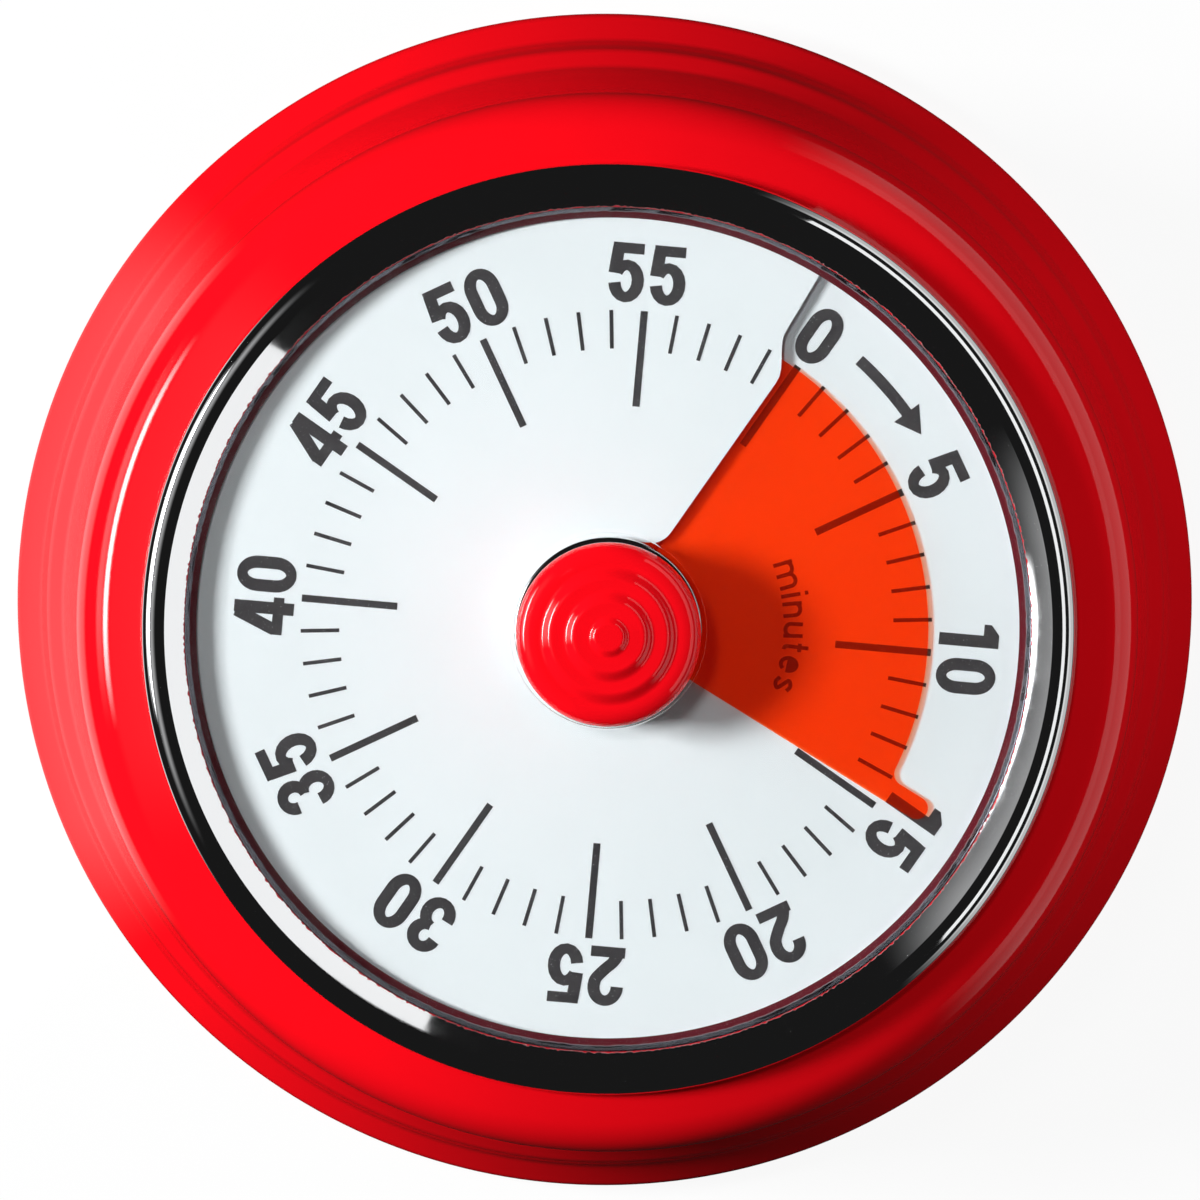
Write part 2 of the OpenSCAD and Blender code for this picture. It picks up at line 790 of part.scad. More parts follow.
module pillar_nuts() {
    color(brass) for (a = pillar_angles)
        polar(pillar_circle, a) nut(pillar_r, screw_r, front_top, front_top + nut_t);
}

module movement_screws() {
    color(steel) for (a = mount_angles)
        polar(mount_r, a) screw(front_z - head_t, flange_top - thread_roof - fit);
}

module main_arbor() {
    color(steel) {
        bar(pivot_r, rear_z, rear_top);
        bar(core_r, rear_top + air, main_z);
        bar(arbor_r, rear_top, knob_bore_top);
    }
}

// Circle of the post that holds the mainspring's outer end
function spring_post_circle() = spring_r + spring_t / 2 + screw_r + slack;

module mainspring() {
    inner = core_r + spring_t / 2 + slack;
    start = -360 * spring_turns;
    color("#4d5a70") translate([0, 0, spring_z]) rotate(start) linear_extrude(spring_h) polygon(concat(
        spiral(inner, spring_r, spring_turns, -spring_t / 2),
        [for (i = [round(spring_turns * 24) : -1 : 0])
            spiral(inner, spring_r, spring_turns, spring_t / 2)[i]]));
}

module spring_post() {
    color(steel) polar(spring_post_circle(), 0) bar(screw_r, rear_z, spring_top);
}

module main_wheel() {
    color(brass) difference() {
        translate([0, 0, main_z]) rotate(second_angle)
            train_wheel(main_teeth, main_m, second_leaves, main_t, arbor_r, 4);
        polar(trip_circle, trip_angle()) hole(trip_pin_r);
    }
}

module ratchet_wheel() {
    pitch = 360 / ratchet_teeth;
    color(steel) translate([0, 0, main_top]) linear_extrude(ratchet_t) difference() {
        polygon(pointed_outline(ratchet_teeth, ratchet_r, ratchet_deep, ratchet_tip_half,
            pitch / 2 - ratchet_tip_half, pitch / 2 - 3 * ratchet_tip_half));
        circle(arbor_r);
    }
}

// Pawl from its stud to a tooth of the ratchet wheel
module click() {
    tip = plan(ratchet_r - fit, click_angle - click_lean);
    stud = plan(click_circle, click_angle);
    reach = norm(tip - stud) - click_tip_gap;
    color(steel) translate([stud.x, stud.y, main_top]) rotate(heading(stud, tip)) linear_extrude(ratchet_t)
        difference() {
            union() {
                circle(click_hub_r);
                polygon([[0, -click_hub_r], [reach, -click_tip_half],
                    [reach, click_tip_half], [0, click_hub_r]]);
            }
            circle(screw_r);
        }
}

module click_stud() {
    color(brass) polar(click_circle, click_angle) {
        bar(screw_r, main_top, main_top + ratchet_t);
        bar(stud_head_r, main_top + ratchet_t, main_top + ratchet_t + stud_head_t);
    }
}

// Leaf spring that presses the click, standing on the main wheel
module click_spring() {
    foot_out = 2.6;
    foot_lead = 12;
    tip_out = 1.2;
    tip_lag = 16;
    foot = plan(click_circle + foot_out, click_angle + foot_lead);
    tip = plan(click_circle + tip_out, click_angle - tip_lag);
    color(steel) translate([foot.x, foot.y, main_top]) {
        bar(leaf_spring_foot_r, 0, ratchet_t);
        rotate(heading(foot, tip)) translate([0, -leaf_spring_t / 2, fit])
            cube([norm(tip - foot), leaf_spring_t, ratchet_t - 2 * fit]);
    }
}

module second_pinion() {
    color(steel) at(second_at) {
        staff(staff_r, staff_pivot_r);
        translate([0, 0, main_z - leaf_end]) rotate(heading(second_at, [0, 0]))
            linear_extrude(main_t + 2 * leaf_end) polygon(pinion_outline(second_leaves, main_m));
    }
}

module second_wheel() {
    color(brass) translate([second_at.x, second_at.y, second_z]) rotate(heading(second_at, third_at))
        train_wheel(second_teeth, second_m, third_leaves, wheel_t, staff_r, 4);
}

module third_pinion() {
    color(steel) at(third_at) {
        staff(staff_r, staff_pivot_r);
        translate([0, 0, second_z - leaf_end]) rotate(heading(third_at, second_at))
            linear_extrude(wheel_t + 2 * leaf_end) polygon(pinion_outline(third_leaves, second_m));
    }
}

module third_wheel() {
    color(brass) translate([third_at.x, third_at.y, third_z]) rotate(heading(third_at, escape_at))
        train_wheel(third_teeth, third_m, escape_leaves, wheel_t, staff_r, 4);
}

module escape_pinion() {
    color(steel) at(escape_at) {
        staff(staff_r, staff_pivot_r);
        translate([0, 0, third_z - leaf_end]) rotate(heading(escape_at, third_at))
            linear_extrude(wheel_t + 2 * leaf_end) polygon(pinion_outline(escape_leaves, third_m));
    }
}

module escape_wheel() {
    r = escape_d / 2;
    eye_circle = r * 0.42;
    eye_r = r * 0.16;
    color(brass) translate([escape_at.x, escape_at.y, escape_z]) rotate(heading(escape_at, verge_at))
        linear_extrude(wheel_t) difference() {
            polygon(pointed_outline(escape_teeth, r, escape_root, escape_tip_half, escape_root_half, 0));
            circle(staff_r);
            for (i = [0 : 3]) rotate(45 + i * 90) translate([eye_circle, 0]) circle(eye_r);
        }
}

// Places of the two pallet pins, seen from the verge's arbor with the escape wheel on -X
pallet_r = escape_d / 2 + pin_r + pin_gap;
function pallet(side) = plan(pallet_r, side * pallet_spread / 2) - [pallet_reach, 0];

module facing_escape() {
    at(verge_at) rotate(heading(escape_at, verge_at)) children();
}

module verge_arbor() {
    color(steel) at(verge_at) staff(staff_r, staff_pivot_r);
}

module verge() {
    color(steel) facing_escape() {
        translate([0, 0, verge_z]) linear_extrude(verge_t) difference() {
            union() {
                circle(verge_hub_r);
                for (side = [-1, 1]) {
                    polygon([[staff_r, side * verge_waist], [-staff_r, side * -verge_waist],
                        pallet(side) + air * [-1, side], pallet(side) + air * [1, side]]);
                    translate(pallet(side)) circle(pin_land);
                }
            }
            circle(staff_r);
        }
        for (side = [-1, 1])
            translate(concat(pallet(side), escape_z - pin_reach))
                cylinder(r = pin_r, h = verge_z - escape_z + pin_reach);
    }
}

module balance_bar() {
    color(brass) facing_escape() translate([0, 0, verge_z + verge_t]) difference() {
        union() {
            translate([-balance_w / 2, -balance_half, 0]) cube([balance_w, 2 * balance_half, balance_t]);
            cylinder(r = weight_r, h = balance_t);
            for (side = [-1, 1]) translate([0, side * balance_half, -weight_over])
                cylinder(r = weight_r, h = balance_t + 2 * weight_over);
        }
        hole(staff_r);
    }
}

// Pin under the main wheel that meets the hammer's tail as the time runs out
module trip_pin() {
    color(steel) polar(trip_circle, trip_angle()) bar(trip_pin_r, main_z - tail_gap - tail_t, main_top);
}

// Plan angle of the trip pin at the minutes set
function trip_angle() = hammer_angle - trip_lead - set_angle;

module hammer_arbor() {
    color(steel) at(hammer_at) {
        bar(hammer_staff_r, arm_z, front_z - air);
        bar(hammer_staff_r + hammer_shoulder, rear_top + fit, rear_top + fit + hammer_shoulder_t);
        bar(staff_pivot_r, front_z - air, front_top);
    }
}

// Pointed tail between the plates, in the way of the trip pin
module hammer_tail() {
    hub = hammer_hub_r;
    tip = tail_length + trip_pin_r;
    tail_z = main_z - tail_gap - tail_t;
    color(steel) translate([hammer_at.x, hammer_at.y, tail_z]) rotate(hammer_angle + 180)
        linear_extrude(tail_t) difference() {
            union() {
                circle(hub);
                polygon([[0, -hub], [tip, -tail_tip_w / 2], [tip, tail_tip_w / 2], [0, hub]]);
            }
            circle(hammer_staff_r);
        }
}

// Arm below the rear plate that swings the head at the bell
module hammer_arm() {
    color(steel) translate([hammer_at.x, hammer_at.y, arm_z]) rotate(hammer_angle + 180)
        linear_extrude(arm_t) difference() {
            union() {
                circle(hammer_hub_r);
                translate([0, -arm_w / 2]) square([hammer_reach, arm_w]);
                translate([hammer_reach, 0]) circle(hammer_head_r);
            }
            circle(hammer_staff_r);
            translate([hammer_reach, 0]) circle(hammer_rivet_r);
        }
}

module hammer_head() {
    color(brass) polar(hammer_circle - hammer_reach, hammer_angle) {
        bar(hammer_head_r, bell_z + air, arm_z);
        bar(hammer_rivet_r, arm_z, arm_z + arm_t);
    }
}

module bell() {
    r = bell_d / 2;
    inner_r = r - bell_wall;
    inner_top = bell_top - bell_wall;
    color(chrome) at(bell_at) difference() {
        turned(concat([[0, bell_z], [r, bell_z]],
            arc([r, bell_z + bell_lip], [bell_crown, bell_top], bell_bulge), [[0, bell_top]]));
        turned(concat([[0, -far], [inner_r, -far]],
            arc([inner_r, bell_z + bell_lip], [bell_crown, inner_top], bell_bulge - bell_wall / 4),
            [[0, inner_top]]));
        hole(screw_r);
    }
}

module bell_post() {
    color(steel) at(bell_at) {
        bar(bell_post_r, bell_top, rear_z);
        bar(screw_r, bell_top - bell_wall - bell_nut_t - bell_stud_over, rear_top);
    }
}

module bell_nut() {
    color(brass) at(bell_at)
        nut(bell_nut_r, screw_r, bell_top - bell_wall - bell_nut_t, bell_top - bell_wall);
}

housing();
bezel();
lens();
dial_ring();
dial();
dial_seat();
time_disc();
disc_hub();
knob();
knob_collar();
rear_cover();
cover_screws();
magnets();
front_plate();
rear_plate();
pillars();
pillar_nuts();
movement_screws();
main_arbor();
mainspring();
spring_post();
main_wheel();
ratchet_wheel();
click();
click_stud();
click_spring();
second_pinion();
second_wheel();
third_pinion();
third_wheel();
escape_pinion();
escape_wheel();
verge_arbor();
verge();
balance_bar();
trip_pin();
hammer_arbor();
hammer_tail();
hammer_arm();
hammer_head();
bell();
bell_post();
bell_nut();
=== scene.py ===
"""Wind-up kitchen timer: pieces, finishes and studio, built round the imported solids.

Lengths are in metres, in the part's own frame: Z is the way the dial faces, Y points at the dial's zero.
Dial angles are in degrees, clockwise from zero as seen from the front.
"""
import json
import math

import bmesh
import bpy
from bpy.props import FloatProperty, FloatVectorProperty, IntProperty, PointerProperty
from mathutils import Matrix, Vector
from mathutils.geometry import delaunay_2d_cdt


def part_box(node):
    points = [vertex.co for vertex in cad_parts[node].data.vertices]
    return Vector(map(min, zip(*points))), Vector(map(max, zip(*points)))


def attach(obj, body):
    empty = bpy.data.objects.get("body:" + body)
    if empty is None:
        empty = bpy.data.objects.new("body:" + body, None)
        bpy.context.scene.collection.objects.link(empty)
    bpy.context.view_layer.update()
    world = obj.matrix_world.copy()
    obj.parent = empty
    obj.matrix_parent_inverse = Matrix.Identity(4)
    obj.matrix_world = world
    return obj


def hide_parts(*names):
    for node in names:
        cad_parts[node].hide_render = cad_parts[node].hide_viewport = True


bl_info = {
    "name": "Wind-up kitchen timer",
    "version": (1, 0, 0),
    "blender": (4, 5, 0),
    "location": "View3D > Sidebar > Timer",
    "description": "Builds the pieces, finishes and studio of a wind-up kitchen timer",
    "category": "Object",
}

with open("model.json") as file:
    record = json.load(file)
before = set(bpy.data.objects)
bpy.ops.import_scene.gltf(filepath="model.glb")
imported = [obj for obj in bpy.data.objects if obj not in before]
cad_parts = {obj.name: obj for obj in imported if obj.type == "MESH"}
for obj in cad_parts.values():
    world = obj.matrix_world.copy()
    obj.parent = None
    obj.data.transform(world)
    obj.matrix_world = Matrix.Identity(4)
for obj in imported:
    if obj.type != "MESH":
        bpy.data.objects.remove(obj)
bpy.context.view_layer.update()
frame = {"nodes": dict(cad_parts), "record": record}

MM = 0.001


def mm(*sizes):
    """Sizes given in millimetres, as metres."""
    return tuple(size * MM for size in sizes)


# Case: its outline from the foot up, in (radius, height)
CASE_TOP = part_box("housing")[1][2]
FOOT = mm(38.2, 0)
FOOT_BULGE = 0.4 * MM
RIM = (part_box("housing")[1][0], 3.2 * MM)
STEP_1 = mm(37.9, 7.35)
STEP_2 = mm(36.15, 12.0)
SHOULDER = mm(34.7, 25.8)
SEAT = (30.3 * MM, CASE_TOP)
OPENING_R = 28.9 * MM
FLANGE_R, FLANGE_LOW, FLANGE_TOP = mm(24.7, 24.45, 25.65)
POCKET = mm(36.8, 2.4)
SHELF_R, SHELF_LOW, SHELF_TOP = mm(35.1, 2.4, 3.8)
CASE_WALL = 1.4 * MM

# Screw posts: the radius they stand at, their outer and inner radius, their two heights, and their angles
BOSS = mm(34.8, 2.2, 0.9, 3.1, 8.4)
BOSS_ANGLES = (90, 210, 330)
POST = mm(26.0, 1.6, 0.8, 23.6, 25.05)
POST_ANGLES = (5, 125, 245)

# Front: bezel, lens and the ring under it
LENS_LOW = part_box("lens")[0][2]
LENS_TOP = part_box("lens")[1][2]
LENS_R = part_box("lens")[1][0]
LENS_HOLE_R = 6.4 * MM
BEAD_END = (OPENING_R, CASE_TOP + 1.8 * MM)
BEAD_BULGE = 0.75 * MM
LIP_R = 27.55 * MM
PLATED_R = mm(27.62, 27.66)
SKIRT_IN, SKIRT_OUT = mm(28.35, 28.85)
SKIRT_LOW = LENS_LOW - 0.4 * MM
RING_LOW = 25.65 * MM
RING_WALL_R = 27.4 * MM
RING_PLATED_R = mm(27.22, 27.32)
RING_STEP_LOW, RING_STEP_TOP = mm(27.325, 27.475)
VIEW_R = 26.8 * MM

# Dial and film: one-turn screw surfaces
DIAL_Z = 26.275 * MM
DIAL_RISE = 0.8 * MM
DIAL_T = 0.3 * MM
DIAL_HOLE_R = 6.05 * MM
DIAL_CORNER = 1.5 * MM
DIAL_R = 27.3 * MM
SLIT_OFFSET = 0.27 * MM
BEND_START, BEND_END = mm(19.5, 22.5)
SLIT_ANGLE = 4.25
NUMBER_EVERY = 5
INK_T = 0.02 * MM
FILM_LIFT = 0.4 * MM
FILM_T = 0.15 * MM
FILM_HOLE_R = 5.05 * MM
FILM_R = 20.9 * MM
SET_ANGLE = 87.0
TAB_W = 1.47 * MM
TAB_REACH = 24.05 * MM
TAB_FILLET = 0.8 * MM

# Knob and collar
COLLAR_R = 6.1 * MM
COLLAR_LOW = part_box("knob_collar")[0][2]
COLLAR_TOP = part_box("knob_collar")[1][2]
KNOB_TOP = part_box("knob")[1][2]
FIRST_TIER = 1.9 * MM
TIER_SHRINK = 0.1
TIER_RUN = 1.67

# Making
SEGMENTS = 256
POST_SEGMENTS = 32
FINE = 1e-9
SHARP = math.radians(38)
LEAST_CORNER = math.radians(18)
MOST_CUT = 0.45

# Colours and strengths that several finishes share
WHITE = (1, 1, 1, 1)
STEEL = (0.58, 0.59, 0.60)
DARK = 0.01


class CaseSettings(bpy.types.PropertyGroup):
    """Red case."""

    colour: FloatVectorProperty(
        name="Case colour", description="Colour of the case's moulding", subtype="COLOR",
        min=0, max=1, default=(0.94, 0.003, 0.009))
    riser_w: FloatProperty(
        name="Riser width", description="Width of each riser, seen from the front", unit="LENGTH",
        default=0.6 * MM)
    riser_h: FloatProperty(
        name="Riser height", description="Height of each riser", unit="LENGTH", default=2.8 * MM)
    rim_round: FloatProperty(
        name="Rim radius", description="Radius that rounds the rim", unit="LENGTH", default=2 * MM)
    step_round: FloatProperty(
        name="Step rounding", description="Length that the rounding of each step takes", unit="LENGTH",
        default=0.45 * MM)
    shoulder_round: FloatProperty(
        name="Shoulder radius", description="Radius that rounds the shoulder", unit="LENGTH",
        default=4.6 * MM)
    back_colour: FloatVectorProperty(
        name="Back colour", description="Colour of the rear cover", subtype="COLOR",
        min=0, max=1, default=(0.02, 0.02, 0.022))


class FrontSettings(bpy.types.PropertyGroup):
    """Bezel, lens and ring."""

    chrome: FloatVectorProperty(
        name="Plating colour", description="Colour of the bright plating", subtype="COLOR",
        min=0, max=1, default=(0.86, 0.87, 0.88))
    # Painted reflection: the red of the thin line at the lens stands in for red light seen in the lens's edge
    bare_edge: FloatVectorProperty(
        name="Bare edge colour", description="Colour of the moulding where the plating ends", subtype="COLOR",
        min=0, max=1, default=(0.45, 0.01, 0.02))
    # Painted shade: the dark of the ring's inner lip stands in for the shadowed gap at the dial's edge
    ring: FloatVectorProperty(
        name="Ring colour", description="Colour of the dial ring's dark lip", subtype="COLOR",
        min=0, max=1, default=(0.10, 0.012, 0.018))
    lens_ior: FloatProperty(
        name="Lens IOR", description="Refraction of the clear lens", default=1.49, min=1, max=2)


class DialSettings(bpy.types.PropertyGroup):
    """Printed dial."""

    colour: FloatVectorProperty(
        name="Dial colour", description="Colour of the dial's sheet", subtype="COLOR",
        min=0, max=1, default=(0.87, 0.94, 0.965))
    ink: FloatVectorProperty(
        name="Ink colour", description="Colour of the dial's print", subtype="COLOR",
        min=0, max=1, default=(0.020, 0.019, 0.021))
    tick_end: FloatProperty(
        name="Tick end", description="Outer radius of the ticks", unit="LENGTH", default=20.6 * MM)
    major_start: FloatProperty(
        name="Five-minute tick start", description="Inner radius of the long ticks", unit="LENGTH",
        default=14.4 * MM)
    minor_start: FloatProperty(
        name="Minute tick start", description="Inner radius of the short ticks", unit="LENGTH",
        default=18.1 * MM)
    major_w: FloatProperty(
        name="Five-minute tick width", description="Width of the long ticks", unit="LENGTH",
        default=0.47 * MM)
    minor_w: FloatProperty(
        name="Minute tick width", description="Width of the short ticks", unit="LENGTH", default=0.25 * MM)
    number_r: FloatProperty(
        name="Number radius", description="Radius of the numbers' middle", unit="LENGTH", default=22.98 * MM)
    number_h: FloatProperty(
        name="Number height", description="Height of the numbers", unit="LENGTH", default=3.87 * MM)
    print_off: FloatVectorProperty(
        name="Print offset", description="Place of the print's middle on the dial", size=2, unit="LENGTH",
        default=mm(0.33, 0.49))
    minutes: IntProperty(
        name="Minutes", description="Minutes in the dial's full turn", default=60, min=10, max=120)


class FilmSettings(bpy.types.PropertyGroup):
    """Translucent time disc."""

    colour: FloatVectorProperty(
        name="Film colour", description="Share of light that each face of the film keeps", subtype="COLOR",
        min=0, max=1, default=(1.0, 0.48, 0.22))
    gloss: FloatProperty(
        name="Gloss share", description="Share of the film that is opaque gloss", subtype="FACTOR",
        default=0.08, min=0, max=1)
    # Painted light: the film sends out red light of its own, which lifts its shadows and the ink under it
    glow: FloatProperty(
        name="Glow", description="Strength of the red light that the film's dye sends back",
        default=0.1, min=0)


class KnobSettings(bpy.types.PropertyGroup):
    """Stepped knob."""

    colour: FloatVectorProperty(
        name="Knob colour", description="Colour of the knob's moulding", subtype="COLOR",
        min=0, max=1, default=(0.94, 0.003, 0.009))
    radius: FloatProperty(
        name="Knob radius", description="Radius of the knob's widest line", unit="LENGTH", default=6 * MM)
    flare: FloatProperty(
        name="Flare", description="Flare from the foot to the widest line", unit="LENGTH", default=0.3 * MM)
    brow_w: FloatProperty(
        name="Brow width", description="Width of the rounded brow", unit="LENGTH", default=1.3 * MM)
    brow_h: FloatProperty(
        name="Brow height", description="Height of the rounded brow", unit="LENGTH", default=1.15 * MM)
    tiers: IntProperty(name="Tiers", description="Soft tiers of the face", default=3, min=1, max=6)
    tier_in: FloatProperty(
        name="Tier step", description="Step in from each tier to the next", unit="LENGTH", default=1.5 * MM)
    tier_h: FloatProperty(
        name="Tier height", description="Height of the lowest tier", unit="LENGTH", default=0.55 * MM)


class StageSettings(bpy.types.PropertyGroup):
    """Floor, lamps and camera."""

    turn: FloatProperty(
        name="Turn", description="Angle of the dial's zero, clockwise from the picture's top",
        subtype="ANGLE", default=math.radians(35.05))
    tilt: FloatProperty(
        name="Tilt", description="Angle of the camera off the dial's axis", subtype="ANGLE",
        default=math.radians(4.07))
    heading: FloatProperty(
        name="Heading", description="Angle of the camera's tilt, from the picture's top to its left",
        subtype="ANGLE", default=math.radians(6.0))
    distance: FloatProperty(
        name="Distance", description="Distance of the camera from the rim", unit="LENGTH", default=0.6)
    lens: FloatProperty(name="Lens", description="Focal length in millimetres", default=264.5)
    key: FloatProperty(
        name="Key lamp", description="Power of the lamp at the upper left", unit="POWER", default=3.3)
    strip: FloatProperty(
        name="Strip lamp", description="Power of the low lamp at the left", unit="POWER", default=0.95)
    side: FloatProperty(
        name="Side lamp", description="Power of the low lamp at the right", unit="POWER", default=0.85)
    top: FloatProperty(
        name="Top lamp", description="Power of the lamp overhead", unit="POWER", default=0.58)
    room: FloatProperty(name="Room light", description="Strength of the room's light", default=0.06)


def settings(group):
    """The scene's settings of that group."""
    return getattr(bpy.context.scene, "timer_" + group)


# Outlines


def arc(start, end, bulge, steps=20):
    """Points of a circular arc that stands out to the right of the way from start to end."""
    start = Vector(start)
    end = Vector(end)
    half = (end - start).length / 2
    along = (end - start).normalized()
    out = Vector((along.y, -along.x))
    radius = (half * half + bulge * bulge) / (2 * bulge)
    centre = (start + end) / 2 + out * (bulge - radius)
    span = math.asin(min(1, half / radius))
    if bulge > radius:
        span = math.pi - span
    turns = (span * (2 * i / steps - 1) for i in range(steps + 1))
    return [tuple(centre + radius * (out * math.cos(t) + along * math.sin(t))) for t in turns]


def rounded(before, corner, after, radius, steps=16):
    """Points of the arc that rounds a corner of the way from before to after."""
    corner = Vector(corner)
    back = (Vector(before) - corner).normalized()
    on = (Vector(after) - corner).normalized()
    half = back.angle(on) / 2
    first = corner + back * radius / math.tan(half)
    last = corner + on * radius / math.tan(half)
    bulge = radius * (1 - math.cos(math.pi / 2 - half))
    return arc(first, last, bulge, steps)


def smooth_step(value, start, end):
    """0 up to the start and 1 from the end on, with a smooth way between them."""
    t = min(1, max(0, (value - start) / (end - start)))
    return t * t * (3 - 2 * t)


def soften(outline, size, steps=4):
    """The closed outline with each of its corners rounded over a short length."""
    points = [Vector(p) for p in outline]
    soft = []
    for before, here, after in zip(points[-1:] + points[:-1], points, points[1:] + points[:1]):
        back = before - here
        on = after - here
        shorter = min(back.length, on.length)
        if shorter < FINE or here.x < FINE or math.pi - back.angle(on) < LEAST_CORNER:
            soft.append(tuple(here))
            continue
        cut = min(size, MOST_CUT * shorter)
        first = here + back.normalized() * cut
        last = here + on.normalized() * cut
        for i in range(steps + 1):
            t = i / steps
            soft.append(tuple(first * (1 - t) ** 2 + here * 2 * t * (1 - t) + last * t * t))
    return soft


# Meshes


def lathe(outline, centre=(0, 0), segments=SEGMENTS):
    """Vertices and faces of the closed solid that an outline of (radius, height) turns out."""
    verts = []
    rings = []
    for radius, height in outline:
        count = 1 if radius < FINE else segments
        rings.append(range(len(verts), len(verts) + count))
        for i in range(count):
            angle = 2 * math.pi * i / segments
            x = centre[0] + radius * math.cos(angle)
            y = centre[1] + radius * math.sin(angle)
            verts.append((x, y, height))
    faces = []
    for low, high in zip(rings, rings[1:] + rings[:1]):
        if len(low) + len(high) == 2:
            continue
        for i in range(segments):
            j = i + 1
            corners = (low[i % len(low)], low[j % len(low)], high[j % len(high)], high[i % len(high)])
            faces.append(tuple(dict.fromkeys(corners)))
    return verts, faces


def tube(spec, angle):
    """A hollow post: spec gives the radius it stands at, its own two radii and its two heights."""
    away, outer, inner, low, high = spec
    turn = math.radians(angle)
    outline = [(inner, low), (outer, low), (outer, high), (inner, high)]
    centre = (away * math.cos(turn), away * math.sin(turn))
    return lathe(soften(outline, size=0.15 * MM), centre, POST_SEGMENTS)


def grid(rows, count):
    """Faces between neighbours in rows of that many points each."""
    starts = [row * count + i for row in range(rows - 1) for i in range(count - 1)]
    return [(a, a + 1, a + count + 1, a + count) for a in starts]


def sheet(columns, thickness):
    """Vertices and faces of a thin closed sheet whose middle follows columns of points."""
    half = Vector((0, 0, thickness / 2))
    middle = [Vector(p) for column in columns for p in column]
    verts = [p + half for p in middle] + [p - half for p in middle]
    return verts, close(grid(len(columns), len(columns[0])), len(middle))


def swept(rows, start, end, steps):
    """Vertices and faces of the open shell that points of (radius, height) sweep between two angles."""
    turns = [math.radians(start + (end - start) * i / steps) for i in range(steps + 1)]
    verts = [(radius * math.cos(t), radius * math.sin(t), height) for radius, height in rows for t in turns]
    return verts, grid(len(rows), len(turns))


def close(top, count):
    """Faces of a closed slab: the top's, the same ones below, and walls along the top's border."""
    edges = {pair for face in top for pair in zip(face, face[1:] + face[:1])}
    border = [(a, b) for a, b in edges if (b, a) not in edges]
    below = [tuple(v + count for v in reversed(face)) for face in top]
    walls = [(b, a, a + count, b + count) for a, b in sorted(border)]
    return list(top) + below + walls


def make_piece(name, parts, material):
    """A mesh object of closed solids, shaded smooth up to its sharp edges."""
    verts = []
    faces = []
    for part_verts, part_faces in parts:
        start = len(verts)
        verts.extend(tuple(v) for v in part_verts)
        faces.extend(tuple(i + start for i in face) for face in part_faces)
    mesh = bpy.data.meshes.new(name)
    mesh.from_pydata(verts, [], faces)
    work = bmesh.new()
    work.from_mesh(mesh)
    bmesh.ops.recalc_face_normals(work, faces=work.faces)
    is_open = any(not edge.is_manifold for edge in work.edges)
    work.to_mesh(mesh)
    work.free()
    if is_open:
        raise RuntimeError(f"{name} isn't a closed solid")
    mesh.shade_smooth()
    mesh.set_sharp_from_angle(angle=SHARP)
    mesh.materials.append(material)
    piece = bpy.data.objects.new(name, mesh)
    bpy.context.scene.collection.objects.link(piece)
    return piece


def place(piece, body, slot, *nodes):
    """Ties a piece to its body and hides the solids that it stands for; the slot is not used."""
    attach(piece, body)
    if nodes:
        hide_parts(*nodes)


# Finishes


def new_material(name):
    """A node material with its tree and main shader."""
    material = bpy.data.materials.new(name)
    material.use_nodes = True
    tree = material.node_tree
    return material, tree, tree.nodes["Principled BSDF"]


def node(tree, kind, **inputs):
    """A node with the values or links of its inputs, named with _ for a space."""
    made = tree.nodes.new(kind)
    for name, value in inputs.items():
        give(tree, made.inputs[name.replace("_", " ")], value)
    return made


def give(tree, socket, value):
    """Sets a socket to a value, or links another node's output to it."""
    if isinstance(value, bpy.types.NodeSocket):
        tree.links.new(value, socket)
    else:
        socket.default_value = value


def math_node(tree, operation, *values):
    """The result of a Math node."""
    made = tree.nodes.new("ShaderNodeMath")
    made.operation = operation
    for socket, value in zip(made.inputs, values):
        give(tree, socket, value)
    return made.outputs[0]


def own_place(tree, stretch=(1, 1, 1)):
    """The piece's own coordinates in metres, stretched."""
    coords = tree.nodes.new("ShaderNodeTexCoord").outputs["Object"]
    made = tree.nodes.new("ShaderNodeVectorMath")
    made.operation = "MULTIPLY"
    tree.links.new(coords, made.inputs[0])
    made.inputs[1].default_value = stretch
    return made.outputs[0]


def own_radius(tree):
    """Distance from the timer's axis."""
    made = tree.nodes.new("ShaderNodeVectorMath")
    made.operation = "LENGTH"
    tree.links.new(own_place(tree, (1, 1, 0)), made.inputs[0])
    return made.outputs["Value"]


def noise(tree, size, detail=2.0, stretch=(1, 1, 1)):
    """Noise whose grains are about that many metres across."""
    made = node(tree, "ShaderNodeTexNoise", Vector=own_place(tree, stretch), Scale=1 / size, Detail=detail)
    return made.outputs["Fac"]


def spread(tree, value, low, high, start=0.3, end=0.7, smooth=False):
    """The value mapped from start and end, by default a noise's usual range, to low and high."""
    made = node(
        tree, "ShaderNodeMapRange", Value=value, From_Min=start, From_Max=end, To_Min=low, To_Max=high)
    if smooth:
        made.interpolation_type = "SMOOTHSTEP"
    return made.outputs["Result"]


def blend(tree, share, first, second):
    """A colour between two colours."""
    made = tree.nodes.new("ShaderNodeMix")
    made.data_type = "RGBA"
    tree.links.new(share, made.inputs["Factor"])
    give(tree, made.inputs["A"], paint(first))
    give(tree, made.inputs["B"], paint(second))
    return made.outputs["Result"]


def paint(colour, share=1.0):
    """A colour with its alpha, scaled by a share; a socket is passed on."""
    if isinstance(colour, bpy.types.NodeSocket):
        return colour
    return tuple(channel * share for channel in colour[:3]) + (1.0,)


def bump(tree, shader, height, strength, depth):
    """Fine relief on a shader, from a height in the range 0 to 1."""
    made = node(tree, "ShaderNodeBump", Height=height, Strength=strength, Distance=depth)
    tree.links.new(made.outputs["Normal"], shader.inputs["Normal"])


def haze(tree, low, high, size, detail):
    """A value that varies between two values, in clouds of about that many metres."""
    return spread(tree, noise(tree, size, detail), low, high)


